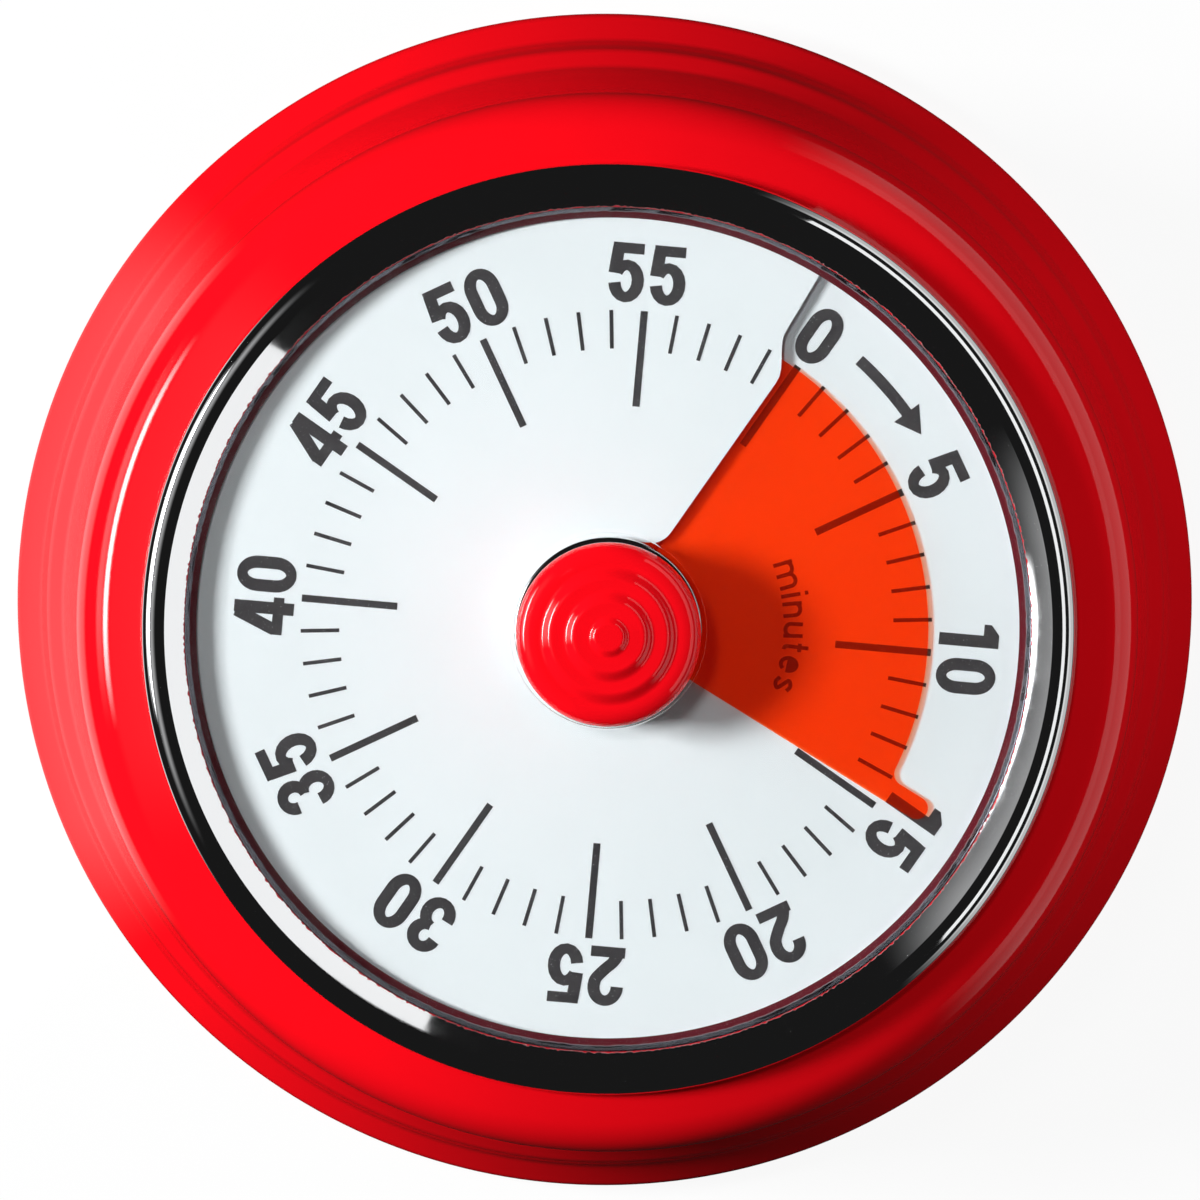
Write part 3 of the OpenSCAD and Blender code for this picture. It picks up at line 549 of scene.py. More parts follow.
def clouds(tree, first, second, size, detail):
    """A colour that varies between two colours in the same way."""
    return blend(tree, haze(tree, 0, 1, size, detail), first, second)


def coat(tree, shader, colour, rough):
    """Gives a shader its colour and roughness."""
    give(tree, shader.inputs["Base Color"], colour)
    give(tree, shader.inputs["Roughness"], rough)


def plated_part(tree, shader, edge, size, detail, wander):
    """Makes a shader metal outside a radius, along an uneven line, and returns that share."""
    radius = math_node(tree, "ADD", own_radius(tree), haze(tree, -wander, wander, size, detail))
    plated = spread(tree, radius, 0, 1, edge[0], edge[1], smooth=True)
    give(tree, shader.inputs["Metallic"], plated)
    return plated


def mixed(tree, share, first, second):
    """A shader between two shaders."""
    made = node(tree, "ShaderNodeMixShader", Fac=share)
    tree.links.new(first.outputs[0], made.inputs[1])
    tree.links.new(second.outputs[0], made.inputs[2])
    return made


def show(tree, shader):
    """Makes a shader the material's surface."""
    tree.links.new(shader.outputs[0], tree.nodes["Material Output"].inputs["Surface"])


def gloss_plastic(name, colour):
    """Polished moulding: faint flow clouds in the colour, fine handling haze in the gloss."""
    material, tree, shader = new_material(name)
    tone = clouds(tree, paint(colour, 0.96), colour, size=9 * MM, detail=3)
    coat(tree, shader, tone, haze(tree, 0.04, 0.08, size=1.2 * MM, detail=5))
    shader.inputs["IOR"].default_value = 1.5
    bump(tree, shader, noise(tree, 0.9 * MM), strength=0.05, depth=0.02 * MM)
    return material


def matt_plastic(name, colour, rough=0.6, grain=0.35 * MM):
    """Moulding with a fine spark-eroded grain."""
    material, tree, shader = new_material(name)
    tone = clouds(tree, paint(colour, 0.9), colour, size=14 * MM, detail=3)
    coat(tree, shader, tone, haze(tree, rough - 0.08, rough + 0.08, size=2 * MM, detail=4))
    bump(tree, shader, noise(tree, grain, 3), strength=0.3, depth=0.03 * MM)
    return material


def metal(name, colour, rough, grain, stretch=(1, 1, 1), shade=0.85):
    """Metal with a grain that is drawn out along an axis where stretch is small."""
    material, tree, shader = new_material(name)
    shader.inputs["Metallic"].default_value = 1.0
    lines = noise(tree, grain, 4, stretch)
    tone = clouds(tree, paint(colour, shade), colour, size=6 * MM, detail=3)
    coat(tree, shader, tone, spread(tree, lines, rough * 0.7, rough * 1.3))
    bump(tree, shader, lines, strength=0.12, depth=0.01 * MM)
    return material


def bezel_plating():
    """Bright plating that ends at the lens in a thin uneven red line, a painted reflection of red light in
    the lens's edge.
    """
    front = settings("front")
    material, tree, shader = new_material("bezel_plating")
    plated = plated_part(tree, shader, PLATED_R, size=0.3 * MM, detail=3, wander=0.07 * MM)
    # Inside the plating's edge the colour is the painted red reflection
    tone = blend(tree, plated, front.bare_edge, front.chrome)
    coat(tree, shader, tone, haze(tree, 0.03, 0.07, size=1.5 * MM, detail=5))
    bump(tree, shader, noise(tree, 3 * MM), strength=0.04, depth=0.03 * MM)
    return material


def ring_finish():
    """Plated ring whose inner lip is painted dark: painted shade for the shadowed gap at the dial's edge."""
    plating = (0.62, 0.60, 0.68)
    material, tree, shader = new_material("ring_finish")
    plated = plated_part(tree, shader, RING_PLATED_R, size=0.5 * MM, detail=2, wander=0.03 * MM)
    # Inside the plating's edge the lip takes the dark ring colour: painted shade
    tone = blend(tree, plated, settings("front").ring, plating)
    coat(tree, shader, tone, haze(tree, 0.05, 0.10, size=0.8 * MM, detail=4))
    return material


def lens_clear():
    """Clear moulding that lets the lamps through to the dial."""
    material, tree, shader = new_material("lens_clear")
    coat(tree, shader, WHITE, haze(tree, 0.0, 0.012, size=2 * MM, detail=5))
    shader.inputs["Transmission Weight"].default_value = 1.0
    shader.inputs["IOR"].default_value = settings("front").lens_ior
    clear = node(tree, "ShaderNodeBsdfTransparent", Color=(0.985, 0.99, 0.99, 1))
    path = tree.nodes.new("ShaderNodeLightPath").outputs
    passes = math_node(tree, "MAXIMUM", path["Is Shadow Ray"], path["Is Diffuse Ray"])
    show(tree, mixed(tree, passes, shader, clear))
    return material


def dial_stock():
    """Smooth white sheet with a faint mottle and a satin face."""
    white = settings("dial").colour
    material, tree, shader = new_material("dial_stock")
    tone = clouds(tree, paint(white, 0.985), white, size=4 * MM, detail=4)
    coat(tree, shader, tone, haze(tree, 0.42, 0.55, size=0.6 * MM, detail=4))
    bump(tree, shader, noise(tree, 0.25 * MM, 3), strength=0.06, depth=0.01 * MM)
    return material


def dial_ink():
    """Screen-printed ink, broken by tiny pale specks."""
    ink = settings("dial").ink
    pale = (0.30, 0.29, 0.31)
    material, tree, shader = new_material("dial_ink")
    specks = spread(tree, noise(tree, 0.11 * MM), 0, 1, 0.68, 0.74)
    tone = clouds(tree, paint(ink, 0.8), paint(ink, 1.2), size=0.8 * MM, detail=3)
    coat(tree, shader, blend(tree, specks, tone, pale), haze(tree, 0.4, 0.6, size=0.4 * MM, detail=3))
    return material


def film_tint():
    """Tinted film: it colours the light that passes, keeps a little gloss, and sends out painted red light of
    its own that lifts its shadows.
    """
    film = settings("film")
    material, tree, shader = new_material("film_tint")
    tone = clouds(tree, (0.95, 0.05, 0.006), (1.0, 0.065, 0.008), size=5 * MM, detail=3)
    coat(tree, shader, tone, haze(tree, 0.14, 0.24, size=1.5 * MM, detail=4))
    tint = node(tree, "ShaderNodeBsdfTransparent", Color=paint(film.colour))
    # Painted light: red emission that lifts the film's shadows
    glow = node(tree, "ShaderNodeEmission", Color=(1.0, 0.004, 0.0, 1.0), Strength=film.glow / 2)
    both = tree.nodes.new("ShaderNodeAddShader")
    tree.links.new(mixed(tree, film.gloss, tint, shader).outputs[0], both.inputs[0])
    tree.links.new(glow.outputs[0], both.inputs[1])
    show(tree, both)
    return material


# Dial and its print


def slit_angle(radius):
    """Dial angle of the slit at a radius: beside zero's tick, then round the number."""
    bend = smooth_step(radius, BEND_START, BEND_END)
    return -(math.degrees(math.asin(SLIT_OFFSET / radius)) * (1 - bend) + SLIT_ANGLE * bend)


def polar(radius, angle):
    """A place in the dial's plan."""
    turn = math.radians(angle)
    return Vector((radius * math.sin(turn), radius * math.cos(turn)))


def screw_point(radius, angle, lift=0.0):
    """Point of the dial's screw surface, raised by a lift."""
    height = DIAL_Z + DIAL_RISE * angle / 360 + lift
    return Vector((*polar(radius, angle), height))


def on_dial(x, y, lift):
    """Point above the dial's face, at a place in its plan."""
    radius = math.hypot(x, y)
    slit = slit_angle(radius)
    angle = (math.degrees(math.atan2(x, y)) - slit) % 360 + slit
    return screw_point(radius, angle, DIAL_T / 2 + lift)


def print_layer(shapes):
    """Vertices and faces of thin ink solids that cover plan polygons, joined where they overlap."""
    inside_only = 1
    merge = 1e-4
    points = []
    polygons = []
    for shape in shapes:
        polygons.append(list(range(len(points), len(points) + len(shape))))
        points.extend(Vector(p) / MM for p in shape)
    flat, _, faces, _, _, sources = delaunay_2d_cdt(points, [], polygons, inside_only, merge)
    top = [tuple(face) for face, source in zip(faces, sources) if source]
    used = sorted({i for face in top for i in face})
    order = {old: new for new, old in enumerate(used)}
    plan = [flat[i] * MM for i in used]
    verts = [on_dial(p.x, p.y, lift) for lift in (INK_T, -INK_T) for p in plan]
    return verts, close([tuple(order[i] for i in face) for face in top], len(used))


def ribbon(line, wide, tall, closed=False):
    """Quads along a pen line; upright strokes come out wide, level ones tall."""
    squeeze = wide / tall
    points = [Vector((x, y * squeeze)) for x, y in line]
    before = [points[-1] if closed else points[0]] + points[:-1]
    after = points[1:] + [points[0] if closed else points[-1]]
    sides = []
    for last, here, following in zip(before, points, after):
        way = (following - last).normalized()
        across = Vector((-way.y, way.x)) * wide / 2
        sides.append([(p.x, p.y / squeeze) for p in (here + across, here - across)])
    pairs = list(zip(sides, sides[1:] + sides[:1]))
    if not closed:
        pairs.pop()
    return [[a[0], a[1], b[1], b[0]] for a, b in pairs]


def bow(x, y, rx, ry, start, end, steps=16):
    """Points of an ellipse from one angle to another, in degrees."""
    turns = [math.radians(start + (end - start) * i / steps) for i in range(steps + 1)]
    return [(x + rx * math.cos(t), y + ry * math.sin(t)) for t in turns]


def curve(points, steps=6):
    """Points of a smooth curve through the given ones."""
    ends = [points[0]] + list(points) + [points[-1]]
    line = []
    for p0, p1, p2, p3 in zip(ends, ends[1:], ends[2:], ends[3:]):
        for i in range(steps):
            t = i / steps
            line.append(tuple(
                b + t * ((c - a) / 2 + t * (a - 2.5 * b + 2 * c - d / 2 + t * (1.5 * (b - c) + (d - a) / 2)))
                for a, b, c, d in zip(p0, p1, p2, p3)))
    return line + [points[-1]]


def slab(x0, y0, x1, y1):
    """A rectangle as one polygon."""
    return [(x0, y0), (x1, y0), (x1, y1), (x0, y1)]


def digit(number):
    """Polygons of a bold digit one unit high about its middle."""
    wide = 0.207
    tall = 0.178
    side = 0.1965
    bar = 0.5 - tall
    pen = {
        0: [bow(0, 0.151, side, 0.26, 0, 180) + bow(0, -0.151, side, 0.26, 180, 360)],
        2: [bow(0, 0.181, side, 0.23, 184, 0) + curve(
            [(side, 0.16), (0.165, 0.04), (0.03, -0.12), (-0.10, -0.25), (-0.18, -0.40)])],
        3: [bow(0, 0.215, 0.19, 0.196, 184, -90), bow(0, -0.19, side, 0.221, 90, -184)],
        4: [[(0.06, 0.47), (-0.225, -0.20)]],
        5: [[(-0.165, 0.42), (-0.205, -0.02)], bow(0, -0.14, side, 0.271, 150, -172)],
    }
    plain = {
        1: [slab(-0.012, -0.5, 0.195, 0.5),
            [(-0.2, 0.24), (0.0, 0.24), (0.0, 0.5), (-0.03, 0.5), (-0.2, 0.36)]],
        2: [slab(-0.29, -0.5, 0.29, -bar)],
        4: [slab(0.03, -0.5, 0.237, 0.5), slab(-0.31, -0.33, 0.32, -0.152)],
        5: [slab(-0.262, bar, 0.265, 0.5)],
    }
    closed = number == 0
    quads = [quad for line in pen.get(number, []) for quad in ribbon(line, wide, tall, closed)]
    return quads + plain.get(number, [])


def letter(name):
    """Polygons of a light letter one x-height tall on its baseline, and its width."""
    pen = 0.20
    half = pen / 2
    arch = 1 - half
    stem = [(half, 0), (half, 1)]
    lines = {
        "m": [
            stem,
            [(half, 0.6)] + bow(0.405, 0.62, 0.32, arch - 0.62, 180, 0) + [(0.725, 0)],
            [(0.725, 0.6)] + bow(1.045, 0.62, 0.32, arch - 0.62, 180, 0) + [(1.365, 0)]],
        "i": [stem, [(half, 1.24), (half, 1.42)]],
        "n": [stem, [(half, 0.6)] + bow(0.4, 0.62, 0.315, arch - 0.62, 180, 0) + [(0.715, 0)]],
        "u": [
            [(0.715, 1), (0.715, 0)],
            [(half, 1)] + bow(0.4, 0.38, 0.315, 0.38 - half, 180, 360) + [(0.715, 0.4)]],
        "t": [
            [(0.2, 1.36), (0.2, 0.26)] + bow(0.38, 0.26, 0.18, 0.26 - half, 180, 270),
            [(0, arch), (0.45, arch)]],
        "e": [bow(0.425, 0.5, 0.34, 0.415, 0, 320), [(0.1, 0.5), (0.765 + half, 0.5)]],
        "s": [curve([(0.66, 0.78), (0.38, arch), (0.11, 0.74), (0.375, 0.51), (0.65, 0.26),
                     (0.37, half), (0.07, 0.24)])],
    }
    widths = {"m": 1.45, "i": 0.17, "n": 0.8, "u": 0.8, "t": 0.45, "e": 0.85, "s": 0.73}
    quads = [quad for line in lines[name] for quad in ribbon(line, pen, pen)]
    return quads, widths[name]


def set_down(polygons, size, radius, angle, shift=0.0):
    """Polygons of one unit set on the dial at a radius and angle, tops outward, shifted clockwise."""
    up = polar(1, angle)
    across = Vector((up.y, -up.x))
    placed = []
    for polygon in polygons:
        placed.append([up * (radius + y * size) + across * (x * size + shift) for x, y in polygon])
    return placed


# Operators


class TIMER_OT_case(bpy.types.Operator):
    """Build the red case with its stepped wall, shoulder, flange and screw posts"""

    bl_idname = "timer.case"
    bl_label = "Case"

    def execute(self, context):
        case = settings("case")
        risers = self.risers(case)
        rim = rounded((RIM[0], 0), RIM, risers[0], case.rim_round)
        outside = arc(FOOT, rim[0], FOOT_BULGE)[:-1] + rim + risers
        outside += rounded(risers[-1], SHOULDER, SEAT, case.shoulder_round) + [SEAT]
        inside = [(OPENING_R, CASE_TOP), (OPENING_R, FLANGE_TOP), (FLANGE_R, FLANGE_TOP)]
        inside += [(FLANGE_R, FLANGE_LOW), (SHOULDER[0] - CASE_WALL, FLANGE_LOW)]
        inside += [(radius - CASE_WALL, height) for radius, height in reversed(risers)]
        inside += [(SHELF_R, SHELF_TOP), (SHELF_R, SHELF_LOW), POCKET, (POCKET[0], 0)]
        parts = [lathe(soften(outside + inside, case.step_round, steps=8))]
        parts += [tube(BOSS, angle) for angle in BOSS_ANGLES]
        parts += [tube(POST, angle) for angle in POST_ANGLES]
        piece = make_piece("case_shell", parts, gloss_plastic("case_red", case.colour))
        place(piece, "case", "case_red", "housing")
        return {"FINISHED"}

    def risers(self, case):
        """Foot and head of each riser of the wall, from the rim up."""
        half = Vector((case.riser_w, -case.riser_h)) / 2
        return [tuple(Vector(step) + half * side) for step in (STEP_1, STEP_2) for side in (1, -1)]


class TIMER_OT_bezel(bpy.types.Operator):
    """Build the plated bezel with its bead, conical wall and skirt"""

    bl_idname = "timer.bezel"
    bl_label = "Bezel"

    def execute(self, context):
        outline = arc(SEAT, BEAD_END, BEAD_BULGE, steps=32)
        outline += [(LIP_R, LENS_TOP), (SKIRT_IN, LENS_TOP), (SKIRT_IN, SKIRT_LOW)]
        outline += [(SKIRT_OUT, SKIRT_LOW), (SKIRT_OUT, CASE_TOP)]
        piece = make_piece("bezel_ring", [lathe(soften(outline, size=0.08 * MM))], bezel_plating())
        place(piece, "case", "chrome", "bezel")
        return {"FINISHED"}


class TIMER_OT_lens(bpy.types.Operator):
    """Build the clear lens with its hole, and the ring that stands under it"""

    bl_idname = "timer.lens"
    bl_label = "Lens and ring"

    def execute(self, context):
        outline = [(LENS_HOLE_R, LENS_LOW), (LENS_R, LENS_LOW), (LENS_R, LENS_TOP), (LENS_HOLE_R, LENS_TOP)]
        lens = make_piece("lens_plate", [lathe(soften(outline, size=0.1 * MM))], lens_clear())
        place(lens, "case", "lens_clear", "lens")
        wall = [(RING_WALL_R, RING_LOW), (LENS_R, RING_LOW), (LENS_R, LENS_LOW), (LIP_R, LENS_LOW)]
        lip = [(VIEW_R, RING_STEP_TOP), (VIEW_R, RING_STEP_LOW), (RING_WALL_R, RING_STEP_LOW)]
        ring = make_piece("lens_ring", [lathe(soften(wall + lip, size=0.05 * MM))], ring_finish())
        place(ring, "case", "chrome", "dial_ring")
        return {"FINISHED"}


class TIMER_OT_dial(bpy.types.Operator):
    """Build the white dial as a one-turn screw sheet that is slit at zero"""

    bl_idname = "timer.dial"
    bl_label = "Dial"

    def execute(self, context):
        rows = 40
        columns = []
        for past, inner in self.edge():
            radii = [inner + (DIAL_R - inner) * i / rows for i in range(rows + 1)]
            columns.append([screw_point(r, slit_angle(r) + past) for r in radii])
        piece = make_piece("dial_sheet", [sheet(columns, DIAL_T)], dial_stock())
        place(piece, "case", "dial_white", "dial")
        return {"FINISHED"}

    def edge(self):
        """The dial's inner edge, as (angle past the slit, radius): the hole, then the round corner."""
        span = math.degrees(DIAL_CORNER / DIAL_HOLE_R)
        turns = 360
        edge = [((360 - span) * c / turns, DIAL_HOLE_R) for c in range(turns)]
        steps = 16
        for k in range(steps + 1):
            turn = math.pi / 2 * k / steps
            radius = DIAL_HOLE_R + DIAL_CORNER * (1 - math.cos(turn))
            edge.append((360 - span * (1 - math.sin(turn)), radius))
        return edge


class TIMER_OT_print(bpy.types.Operator):
    """Print the dial's ticks, numbers, arrow and unit legend"""

    bl_idname = "timer.print"
    bl_label = "Dial print"

    def execute(self, context):
        dial = settings("dial")
        ink = dial_ink()
        off = Vector(dial.print_off)
        layers = {
            "dial_ticks": self.ticks(dial),
            "dial_numbers": self.numbers(dial),
            "dial_arrow": self.arrow(),
            "dial_legend": self.legend(),
        }
        for name, shapes in layers.items():
            moved = [[Vector(p) + off for p in shape] for shape in shapes]
            piece = make_piece(name, [print_layer(moved)], ink)
            place(piece, "case", "plastic_black")
        return {"FINISHED"}

    def ticks(self, dial):
        """A long tick each five minutes and a short one for each other minute."""
        shapes = []
        for minute in range(dial.minutes):
            major = minute % NUMBER_EVERY == 0
            start = dial.major_start if major else dial.minor_start
            half = (dial.major_w if major else dial.minor_w) / 2
            bar = [slab(-half, start, half, dial.tick_end)]
            shapes += set_down(bar, size=1, radius=0, angle=360 * minute / dial.minutes)
        return shapes

    def numbers(self, dial):
        """The minutes' numbers, tops outward."""
        advance = 0.70 * dial.number_h
        shapes = []
        for minute in range(0, dial.minutes, NUMBER_EVERY):
            digits = [int(mark) for mark in str(minute)]
            for i, number in enumerate(digits):
                shift = (i - (len(digits) - 1) / 2) * advance
                angle = 360 * minute / dial.minutes
                shapes += set_down(digit(number), dial.number_h, dial.number_r, angle, shift)
        return shapes

    def arrow(self):
        """A clockwise arrow beside zero, which shows the way to wind."""
        radius = 23.4 * MM
        tail = 7.4
        tip = 22.9
        width = 0.73 * MM
        head_w = 2.0 * MM
        head_l = 1.7 * MM
        overlap = 0.2
        neck = tip - math.degrees(head_l / radius)
        steps = 12
        angles = [tail + (neck + overlap - tail) * i / steps for i in range(steps + 1)]
        low = radius - width / 2
        high = radius + width / 2
        shapes = []
        for a, b in zip(angles, angles[1:]):
            shapes.append([polar(low, a), polar(high, a), polar(high, b), polar(low, b)])
        head = [polar(radius - head_w / 2, neck), polar(radius + head_w / 2, neck), polar(radius, tip)]
        return shapes + [head]

    def legend(self):
        """The unit's name along an arc, tops outward."""
        baseline = 11.0 * MM
        size = 1.25 * MM
        gap = 0.28
        angle = 34.0
        shapes = []
        per_unit = math.degrees(size / (baseline + size / 2))
        for name in "minutes":
            polygons, width = letter(name)
            middle = angle + width / 2 * per_unit
            shapes += set_down(polygons, size, baseline, middle, -width / 2 * size)
            angle += (width + gap) * per_unit
        return shapes


class TIMER_OT_film(bpy.types.Operator):
    """Build the tinted time disc with its pointer tab, set to the photographed time"""

    bl_idname = "timer.film"
    bl_label = "Time disc"

    def execute(self, context):
        rows = 16
        columns = []
        for behind, outer in self.edge():
            angle = SET_ANGLE - math.degrees(behind)
            radii = [FILM_HOLE_R + (outer - FILM_HOLE_R) * i / rows for i in range(rows + 1)]
            columns.append([screw_point(r, angle, FILM_LIFT) for r in radii])
        piece = make_piece("time_film", [sheet(columns, FILM_T)], film_tint())
        place(piece, "disc", "film_orange", "time_disc")
        return {"FINISHED"}

    def edge(self):
        """The disc's rim back from the leading edge, as (angle behind it, radius), from the far end on."""
        end_r = TAB_W / 2
        centre = Vector((TAB_W + TAB_FILLET, 0))
        centre.y = math.sqrt((FILM_R + TAB_FILLET) ** 2 - centre.x ** 2)
        start = math.atan2(centre.x, centre.y)
        turns = 220
        rim = [(start + (2 * math.pi - start) * (1 - i / turns), FILM_R) for i in range(turns)]
        steps = 10
        first = math.atan2(-centre.y, -centre.x)
        points = []
        for i in range(steps + 1):
            turn = first + (-math.pi - first) * i / steps
            points.append(centre + TAB_FILLET * Vector((math.cos(turn), math.sin(turn))))
        for i in range(2 * steps + 1):
            turn = math.pi * i / (2 * steps)
            height = TAB_REACH - end_r + end_r * math.sin(turn)
            points.append(Vector((end_r + end_r * math.cos(turn), height)))
        return rim + [(math.atan2(p.x, p.y), p.length) for p in points]


class TIMER_OT_knob(bpy.types.Operator):
    """Build the stepped knob and the plated collar under it"""

    bl_idname = "timer.knob"
    bl_label = "Knob and collar"

    def execute(self, context):
        knob = settings("knob")
        brow_in = knob.radius - knob.brow_w
        brow_top = KNOB_TOP - self.face_rise(knob, 0)
        brow_steps = 20
        face_steps = 90
        outline = [(0, COLLAR_TOP), (knob.radius - knob.flare, COLLAR_TOP)]
        for k in range(brow_steps + 1):
            turn = math.pi / 2 * k / brow_steps
            height = brow_top + knob.brow_h * (math.sin(turn) - 1)
            outline.append((brow_in + knob.brow_w * math.cos(turn), height))
        for k in range(1, face_steps):
            radius = brow_in * (1 - k / face_steps)
            outline.append((radius, brow_top + self.face_rise(knob, radius)))
        outline.append((0, KNOB_TOP))
        red = gloss_plastic("knob_red", knob.colour)
        piece = make_piece("knob_beehive", [lathe(soften(outline, size=0.1 * MM))], red)
        place(piece, "knob_arbor", "knob_red", "knob")
        ring = [(0, COLLAR_LOW), (COLLAR_R, COLLAR_LOW), (COLLAR_R, COLLAR_TOP), (0, COLLAR_TOP)]
        plating = metal("collar_plating", settings("front").chrome, rough=0.07, grain=1.5 * MM)
        collar = make_piece("collar_ring", [lathe(soften(ring, size=0.15 * MM))], plating)
        place(collar, "knob_arbor", "chrome", "knob_collar")
        return {"FINISHED"}

    def face_rise(self, knob, radius):
        """Height of the face above the brow at a radius: soft tiers that get lower inwards."""
        total = 0
        for tier in range(knob.tiers):
            rise = knob.tier_h * (1 - TIER_SHRINK * tier ** 2)
            half = TIER_RUN * rise / 2
            middle = knob.radius - FIRST_TIER - tier * knob.tier_in
            total += rise * smooth_step(radius, middle + half, middle - half)
        return total


class TIMER_OT_back(bpy.types.Operator):
    """Finish the rear cover, its screws and the magnets"""

    bl_idname = "timer.back"
    bl_label = "Back"

    def execute(self, context):
        dress(matt_plastic("cover_black", settings("case").back_colour), ["rear_cover"])
        dress(matt_plastic("magnet_ferrite", (0.06, 0.06, 0.066), rough=0.5, grain=0.2 * MM), ["magnets"])
        dress(metal("screw_steel", STEEL, rough=0.28, grain=0.25 * MM), ["cover_screws"])
        return {"FINISHED"}


class TIMER_OT_movement(bpy.types.Operator):
    """Finish the clockwork, the bell and the carriers behind the dial"""

    bl_idname = "timer.movement"
    bl_label = "Movement"

    def execute(self, context):
        # Metals: name, colour, roughness, size of the grain, how much finer it is along X, Y and Z, shade
        finishes = {
            "plastic_white": matt_plastic("carrier_white", (0.82, 0.83, 0.82)),
            "plate_brass": metal("movement_brass", (0.78, 0.58, 0.25), 0.3, 0.4 * MM, (1, 0.05, 1)),
            "steel": metal("movement_steel", STEEL, 0.28, 0.25 * MM, (1, 1, 6)),
            "spring_blue": metal("spring_blue", (0.16, 0.20, 0.28), 0.3, 0.5 * MM, (1, 1, 0.2), 0.6),
            "bell_nickel": metal("bell_nickel", (0.78, 0.76, 0.72), 0.12, 1.2 * MM),
        }
        done = {"cover_screws"}
        for subpart in frame["record"]["subparts"]:
            if subpart["material_slot"] in finishes and subpart["node"] not in done:
                dress(finishes[subpart["material_slot"]], [subpart["node"]])
        return {"FINISHED"}


def dress(material, nodes):
    """Gives solids of the frame a finish."""
    for name in nodes:
        solid = frame["nodes"][name]
        solid.data.materials.clear()
        solid.data.materials.append(material)


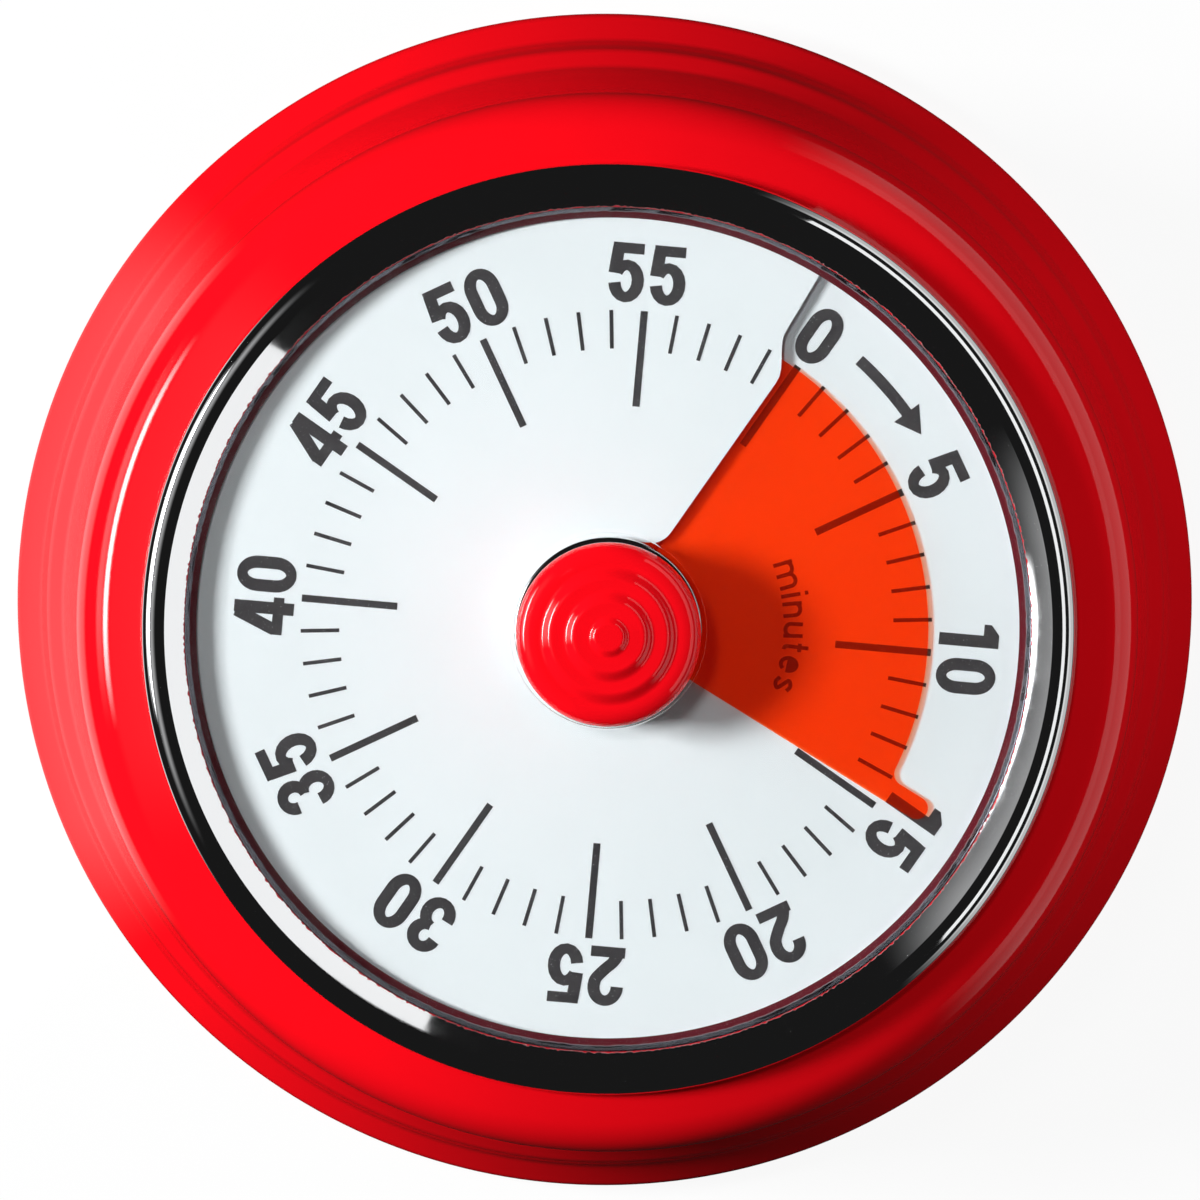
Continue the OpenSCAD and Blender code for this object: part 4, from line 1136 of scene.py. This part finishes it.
class TIMER_OT_stage(bpy.types.Operator):
    """Set up the floor, the studio's reflections, the lamps, the room and the camera"""

    bl_idname = "timer.stage"
    bl_label = "Stage"

    def execute(self, context):
        stage = settings("stage")
        scene = context.scene
        scene.view_settings.view_transform = "Standard"
        self.right = Vector((math.cos(stage.turn), math.sin(stage.turn), 0))
        self.up = Vector((-math.sin(stage.turn), math.cos(stage.turn), 0))
        self.room(stage, scene)
        self.floor()
        self.reflections(stage)
        self.lamp("key_lamp", stage.key, towards=(-0.72, 0.115, 0.685), distance=0.55, size=(0.12, 0.12))
        self.lamp("strip_lamp", stage.strip, towards=(-0.95, 0.22, 0.19), distance=0.45, size=(0.24, 0.15))
        self.lamp("side_lamp", stage.side, towards=(0.97, 0.22, 0.09), distance=0.45, size=(0.30, 0.12))
        self.lamp("top_lamp", stage.top, towards=(-0.2, 0.2, 0.96), distance=0.6, size=(0.06, 0.06))
        self.camera(stage, scene)
        return {"FINISHED"}

    def room(self, stage, scene):
        """Faint even light, and a white background for the camera, metal and glass."""
        world = bpy.data.worlds.new("room")
        world.use_nodes = True
        tree = world.node_tree
        light = tree.nodes["Background"]
        light.inputs["Color"].default_value = WHITE
        strength = spread(tree, seen_directly(tree), stage.room, 1, 0, 1)
        tree.links.new(strength, light.inputs["Strength"])
        scene.world = world

    def floor(self):
        """A pale floor that keeps the timer's shadow."""
        half = 2.0
        white_share = 0.93
        material, tree, shader = new_material("floor_pale")
        tone = clouds(tree, (0.88, 0.88, 0.88), (0.9, 0.9, 0.9), size=60 * MM, detail=2)
        coat(tree, shader, tone, 0.9)
        shader.inputs["Specular IOR Level"].default_value = 0.0
        white = node(tree, "ShaderNodeEmission", Color=WHITE, Strength=1.0)
        share = math_node(tree, "MULTIPLY", seen_directly(tree), white_share)
        show(tree, mixed(tree, share, shader, white))
        corners = [(x, y, 0) for x, y in slab(-half, -half, half, half)]
        self.prop("floor", (corners, [(0, 1, 2, 3)]), material)

    def prop(self, name, shape, material):
        """A stage object of vertices and faces."""
        verts, faces = shape
        mesh = bpy.data.meshes.new(name)
        mesh.from_pydata(verts, [], faces)
        mesh.materials.append(material)
        made = bpy.data.objects.new(name, mesh)
        bpy.context.scene.collection.objects.link(made)
        return made

    def reflections(self, stage):
        """Cards that only polished surfaces show: dark ones with bright windows, and a white one."""
        left = -1
        right = 1
        # Each window: side, two angles from that side, two heights in degrees or radii, soft edge, strength
        sky = [
            (left, -8, 25, 19, 26, 2, 30.0),
            (left, -8, 25, 5, 16, 3, 2.0),
            (left, -25, 40, 30, 50, 12, 0.4),
            (right, -45, 62, -10, 12, 1, 0.8),
        ]
        ground = [
            (left, -30, 38, 42 * MM, 75 * MM, 8 * MM, 0.8),
            (right, -45, 62, 72 * MM, 600 * MM, 2 * MM, 0.55),
        ]
        tent_r = 450 * MM
        rings = 24
        turns = 64
        rises = [math.pi / 2 * i / rings for i in range(rings + 1)]
        dome = [(tent_r * math.cos(rise), tent_r * math.sin(rise)) for rise in rises]
        windows = window_material("tent_windows", sky, DARK, True)
        self.card("tent", swept(dome, 0, 360, turns), windows, stage)
        flat = [(tent_r, 0.4 * MM), mm(40.6, 0.4)]
        windows = window_material("floor_windows", ground, DARK, False)
        card = self.card("floor_card", swept(flat, 0, 360, turns), windows, stage)
        # It also keeps the floor's bounced light off the case
        card.visible_diffuse = True
        # The white card stands close by at the right, and the bezel's inner wall shows it
        upright = [mm(75, 60), mm(75, 92)]
        white = window_material("side_white", [], 1.0, True)
        self.card("side_card", swept(upright, -45, 62, 24), white, stage)

    def card(self, name, shape, material, stage):
        """A stage object that only reflections show."""
        made = self.prop(name, shape, material)
        made.rotation_euler.z = stage.turn
        made.visible_camera = False
        made.visible_diffuse = False
        made.visible_volume_scatter = False
        made.visible_shadow = False
        return made

    def lamp(self, name, power, towards, distance, size):
        """A soft lamp that faces the timer and isn't reflected; towards is right, up and out of the view."""
        data = bpy.data.lights.new(name, "AREA")
        data.shape = "RECTANGLE"
        data.size, data.size_y = size
        data.energy = power
        made = bpy.data.objects.new(name, data)
        across, up, out = towards
        way = (self.right * across + self.up * up + Vector((0, 0, out))).normalized()
        made.location = way * distance
        made.rotation_euler = way.to_track_quat("Z", "Y").to_euler()
        made.visible_glossy = False
        bpy.context.scene.collection.objects.link(made)

    def camera(self, stage, scene):
        """The photograph's view: straight at the dial, tilted a little towards the picture's top."""
        picture = 1200
        rim_x, rim_y = 605.0, 602.6
        data = bpy.data.cameras.new("camera")
        data.lens = stage.lens
        data.sensor_width = 36
        data.clip_end = 20
        made = bpy.data.objects.new("camera", data)
        lean = self.up * math.cos(stage.heading) - self.right * math.sin(stage.heading)
        back = Vector((0, 0, math.cos(stage.tilt))) + lean * math.sin(stage.tilt)
        right = self.up.cross(back).normalized()
        up = back.cross(right)
        scale = data.lens / data.sensor_width * picture / stage.distance
        target = Vector((0, 0, RIM[1]))
        target -= right * (rim_x - picture / 2) / scale
        target -= up * (picture / 2 - rim_y) / scale
        turn = Matrix((right, up, back)).transposed()
        made.matrix_world = Matrix.Translation(target + back * stage.distance) @ turn.to_4x4()
        scene.collection.objects.link(made)
        scene.camera = made


def seen_directly(tree):
    """1 for rays from the camera, from polished surfaces and through glass."""
    path = tree.nodes.new("ShaderNodeLightPath").outputs
    polished = math_node(tree, "MAXIMUM", path["Is Glossy Ray"], path["Is Transmission Ray"])
    return math_node(tree, "MAXIMUM", path["Is Camera Ray"], polished)


def window_material(name, windows, dark, by_height):
    """A dark card with glowing windows, bounded by their angle from the side and by height or radius.

    An upright card glows only before the light's first diffuse bounce, so it doesn't light the dial.
    """
    soft_side = 8
    material, tree, shader = new_material(name)
    tree.nodes.remove(shader)
    where = tree.nodes.new("ShaderNodeTexCoord").outputs["Object"]
    parts = node(tree, "ShaderNodeSeparateXYZ", Vector=where).outputs
    reach = own_radius(tree)
    if by_height:
        reach = math_node(tree, "DEGREES", math_node(tree, "ARCTAN2", parts["Z"], reach))
    total = dark
    for side, low, high, near, far, soft, strength in windows:
        ahead = math_node(tree, "MULTIPLY", parts["X"], float(side))
        angle = math_node(tree, "DEGREES", math_node(tree, "ARCTAN2", parts["Y"], ahead))
        across = within(tree, angle, low, high, soft_side)
        inside = math_node(tree, "MULTIPLY", across, within(tree, reach, near, far, soft))
        total = math_node(tree, "ADD", total, math_node(tree, "MULTIPLY", inside, strength))
    if by_height:
        bounces = tree.nodes.new("ShaderNodeLightPath").outputs["Diffuse Depth"]
        total = math_node(tree, "MULTIPLY", total, math_node(tree, "LESS_THAN", bounces, 0.5))
    show(tree, node(tree, "ShaderNodeEmission", Color=WHITE, Strength=total))
    material.cycles.emission_sampling = "NONE"
    return material


def within(tree, value, low, high, soft):
    """1 between low and high, falling softly to 0 outside."""
    rising = spread(tree, value, 0, 1, low - soft, low + soft, True)
    falling = spread(tree, value, 1, 0, high - soft, high + soft, True)
    return math_node(tree, "MULTIPLY", rising, falling)


class TIMER_PT_panel(bpy.types.Panel):
    """Lists the timer's pieces and settings"""

    bl_label = "Timer"
    bl_idname = "TIMER_PT_panel"
    bl_space_type = "VIEW_3D"
    bl_region_type = "UI"
    bl_category = "Timer"

    def draw(self, context):
        for operator in OPERATORS:
            self.layout.operator(operator.bl_idname)
        for group, kind in GROUPS.items():
            box = self.layout.box()
            box.label(text=group.capitalize())
            for name in kind.__annotations__:
                box.prop(settings(group), name)


GROUPS = {
    "case": CaseSettings,
    "front": FrontSettings,
    "dial": DialSettings,
    "film": FilmSettings,
    "knob": KnobSettings,
    "stage": StageSettings,
}
OPERATORS = (
    TIMER_OT_case, TIMER_OT_bezel, TIMER_OT_lens, TIMER_OT_dial, TIMER_OT_print, TIMER_OT_film, TIMER_OT_knob,
    TIMER_OT_back, TIMER_OT_movement, TIMER_OT_stage)


def register():
    """Makes the settings, operators and panel known to Blender."""
    for group, kind in GROUPS.items():
        bpy.utils.register_class(kind)
        setattr(bpy.types.Scene, "timer_" + group, PointerProperty(type=kind))
    for kind in OPERATORS + (TIMER_PT_panel,):
        bpy.utils.register_class(kind)


def unregister():
    """Takes them out again."""
    for kind in (TIMER_PT_panel,) + OPERATORS[::-1]:
        bpy.utils.unregister_class(kind)
    for group, kind in GROUPS.items():
        delattr(bpy.types.Scene, "timer_" + group)
        bpy.utils.unregister_class(kind)


def main():
    register()
    bpy.ops.timer.case()
    bpy.ops.timer.bezel()
    bpy.ops.timer.lens()
    bpy.ops.timer.dial()
    bpy.ops.timer.print()
    bpy.ops.timer.film()
    bpy.ops.timer.knob()
    bpy.ops.timer.back()
    bpy.ops.timer.movement()
    bpy.ops.timer.stage()


if __name__ == "__main__":
    main()
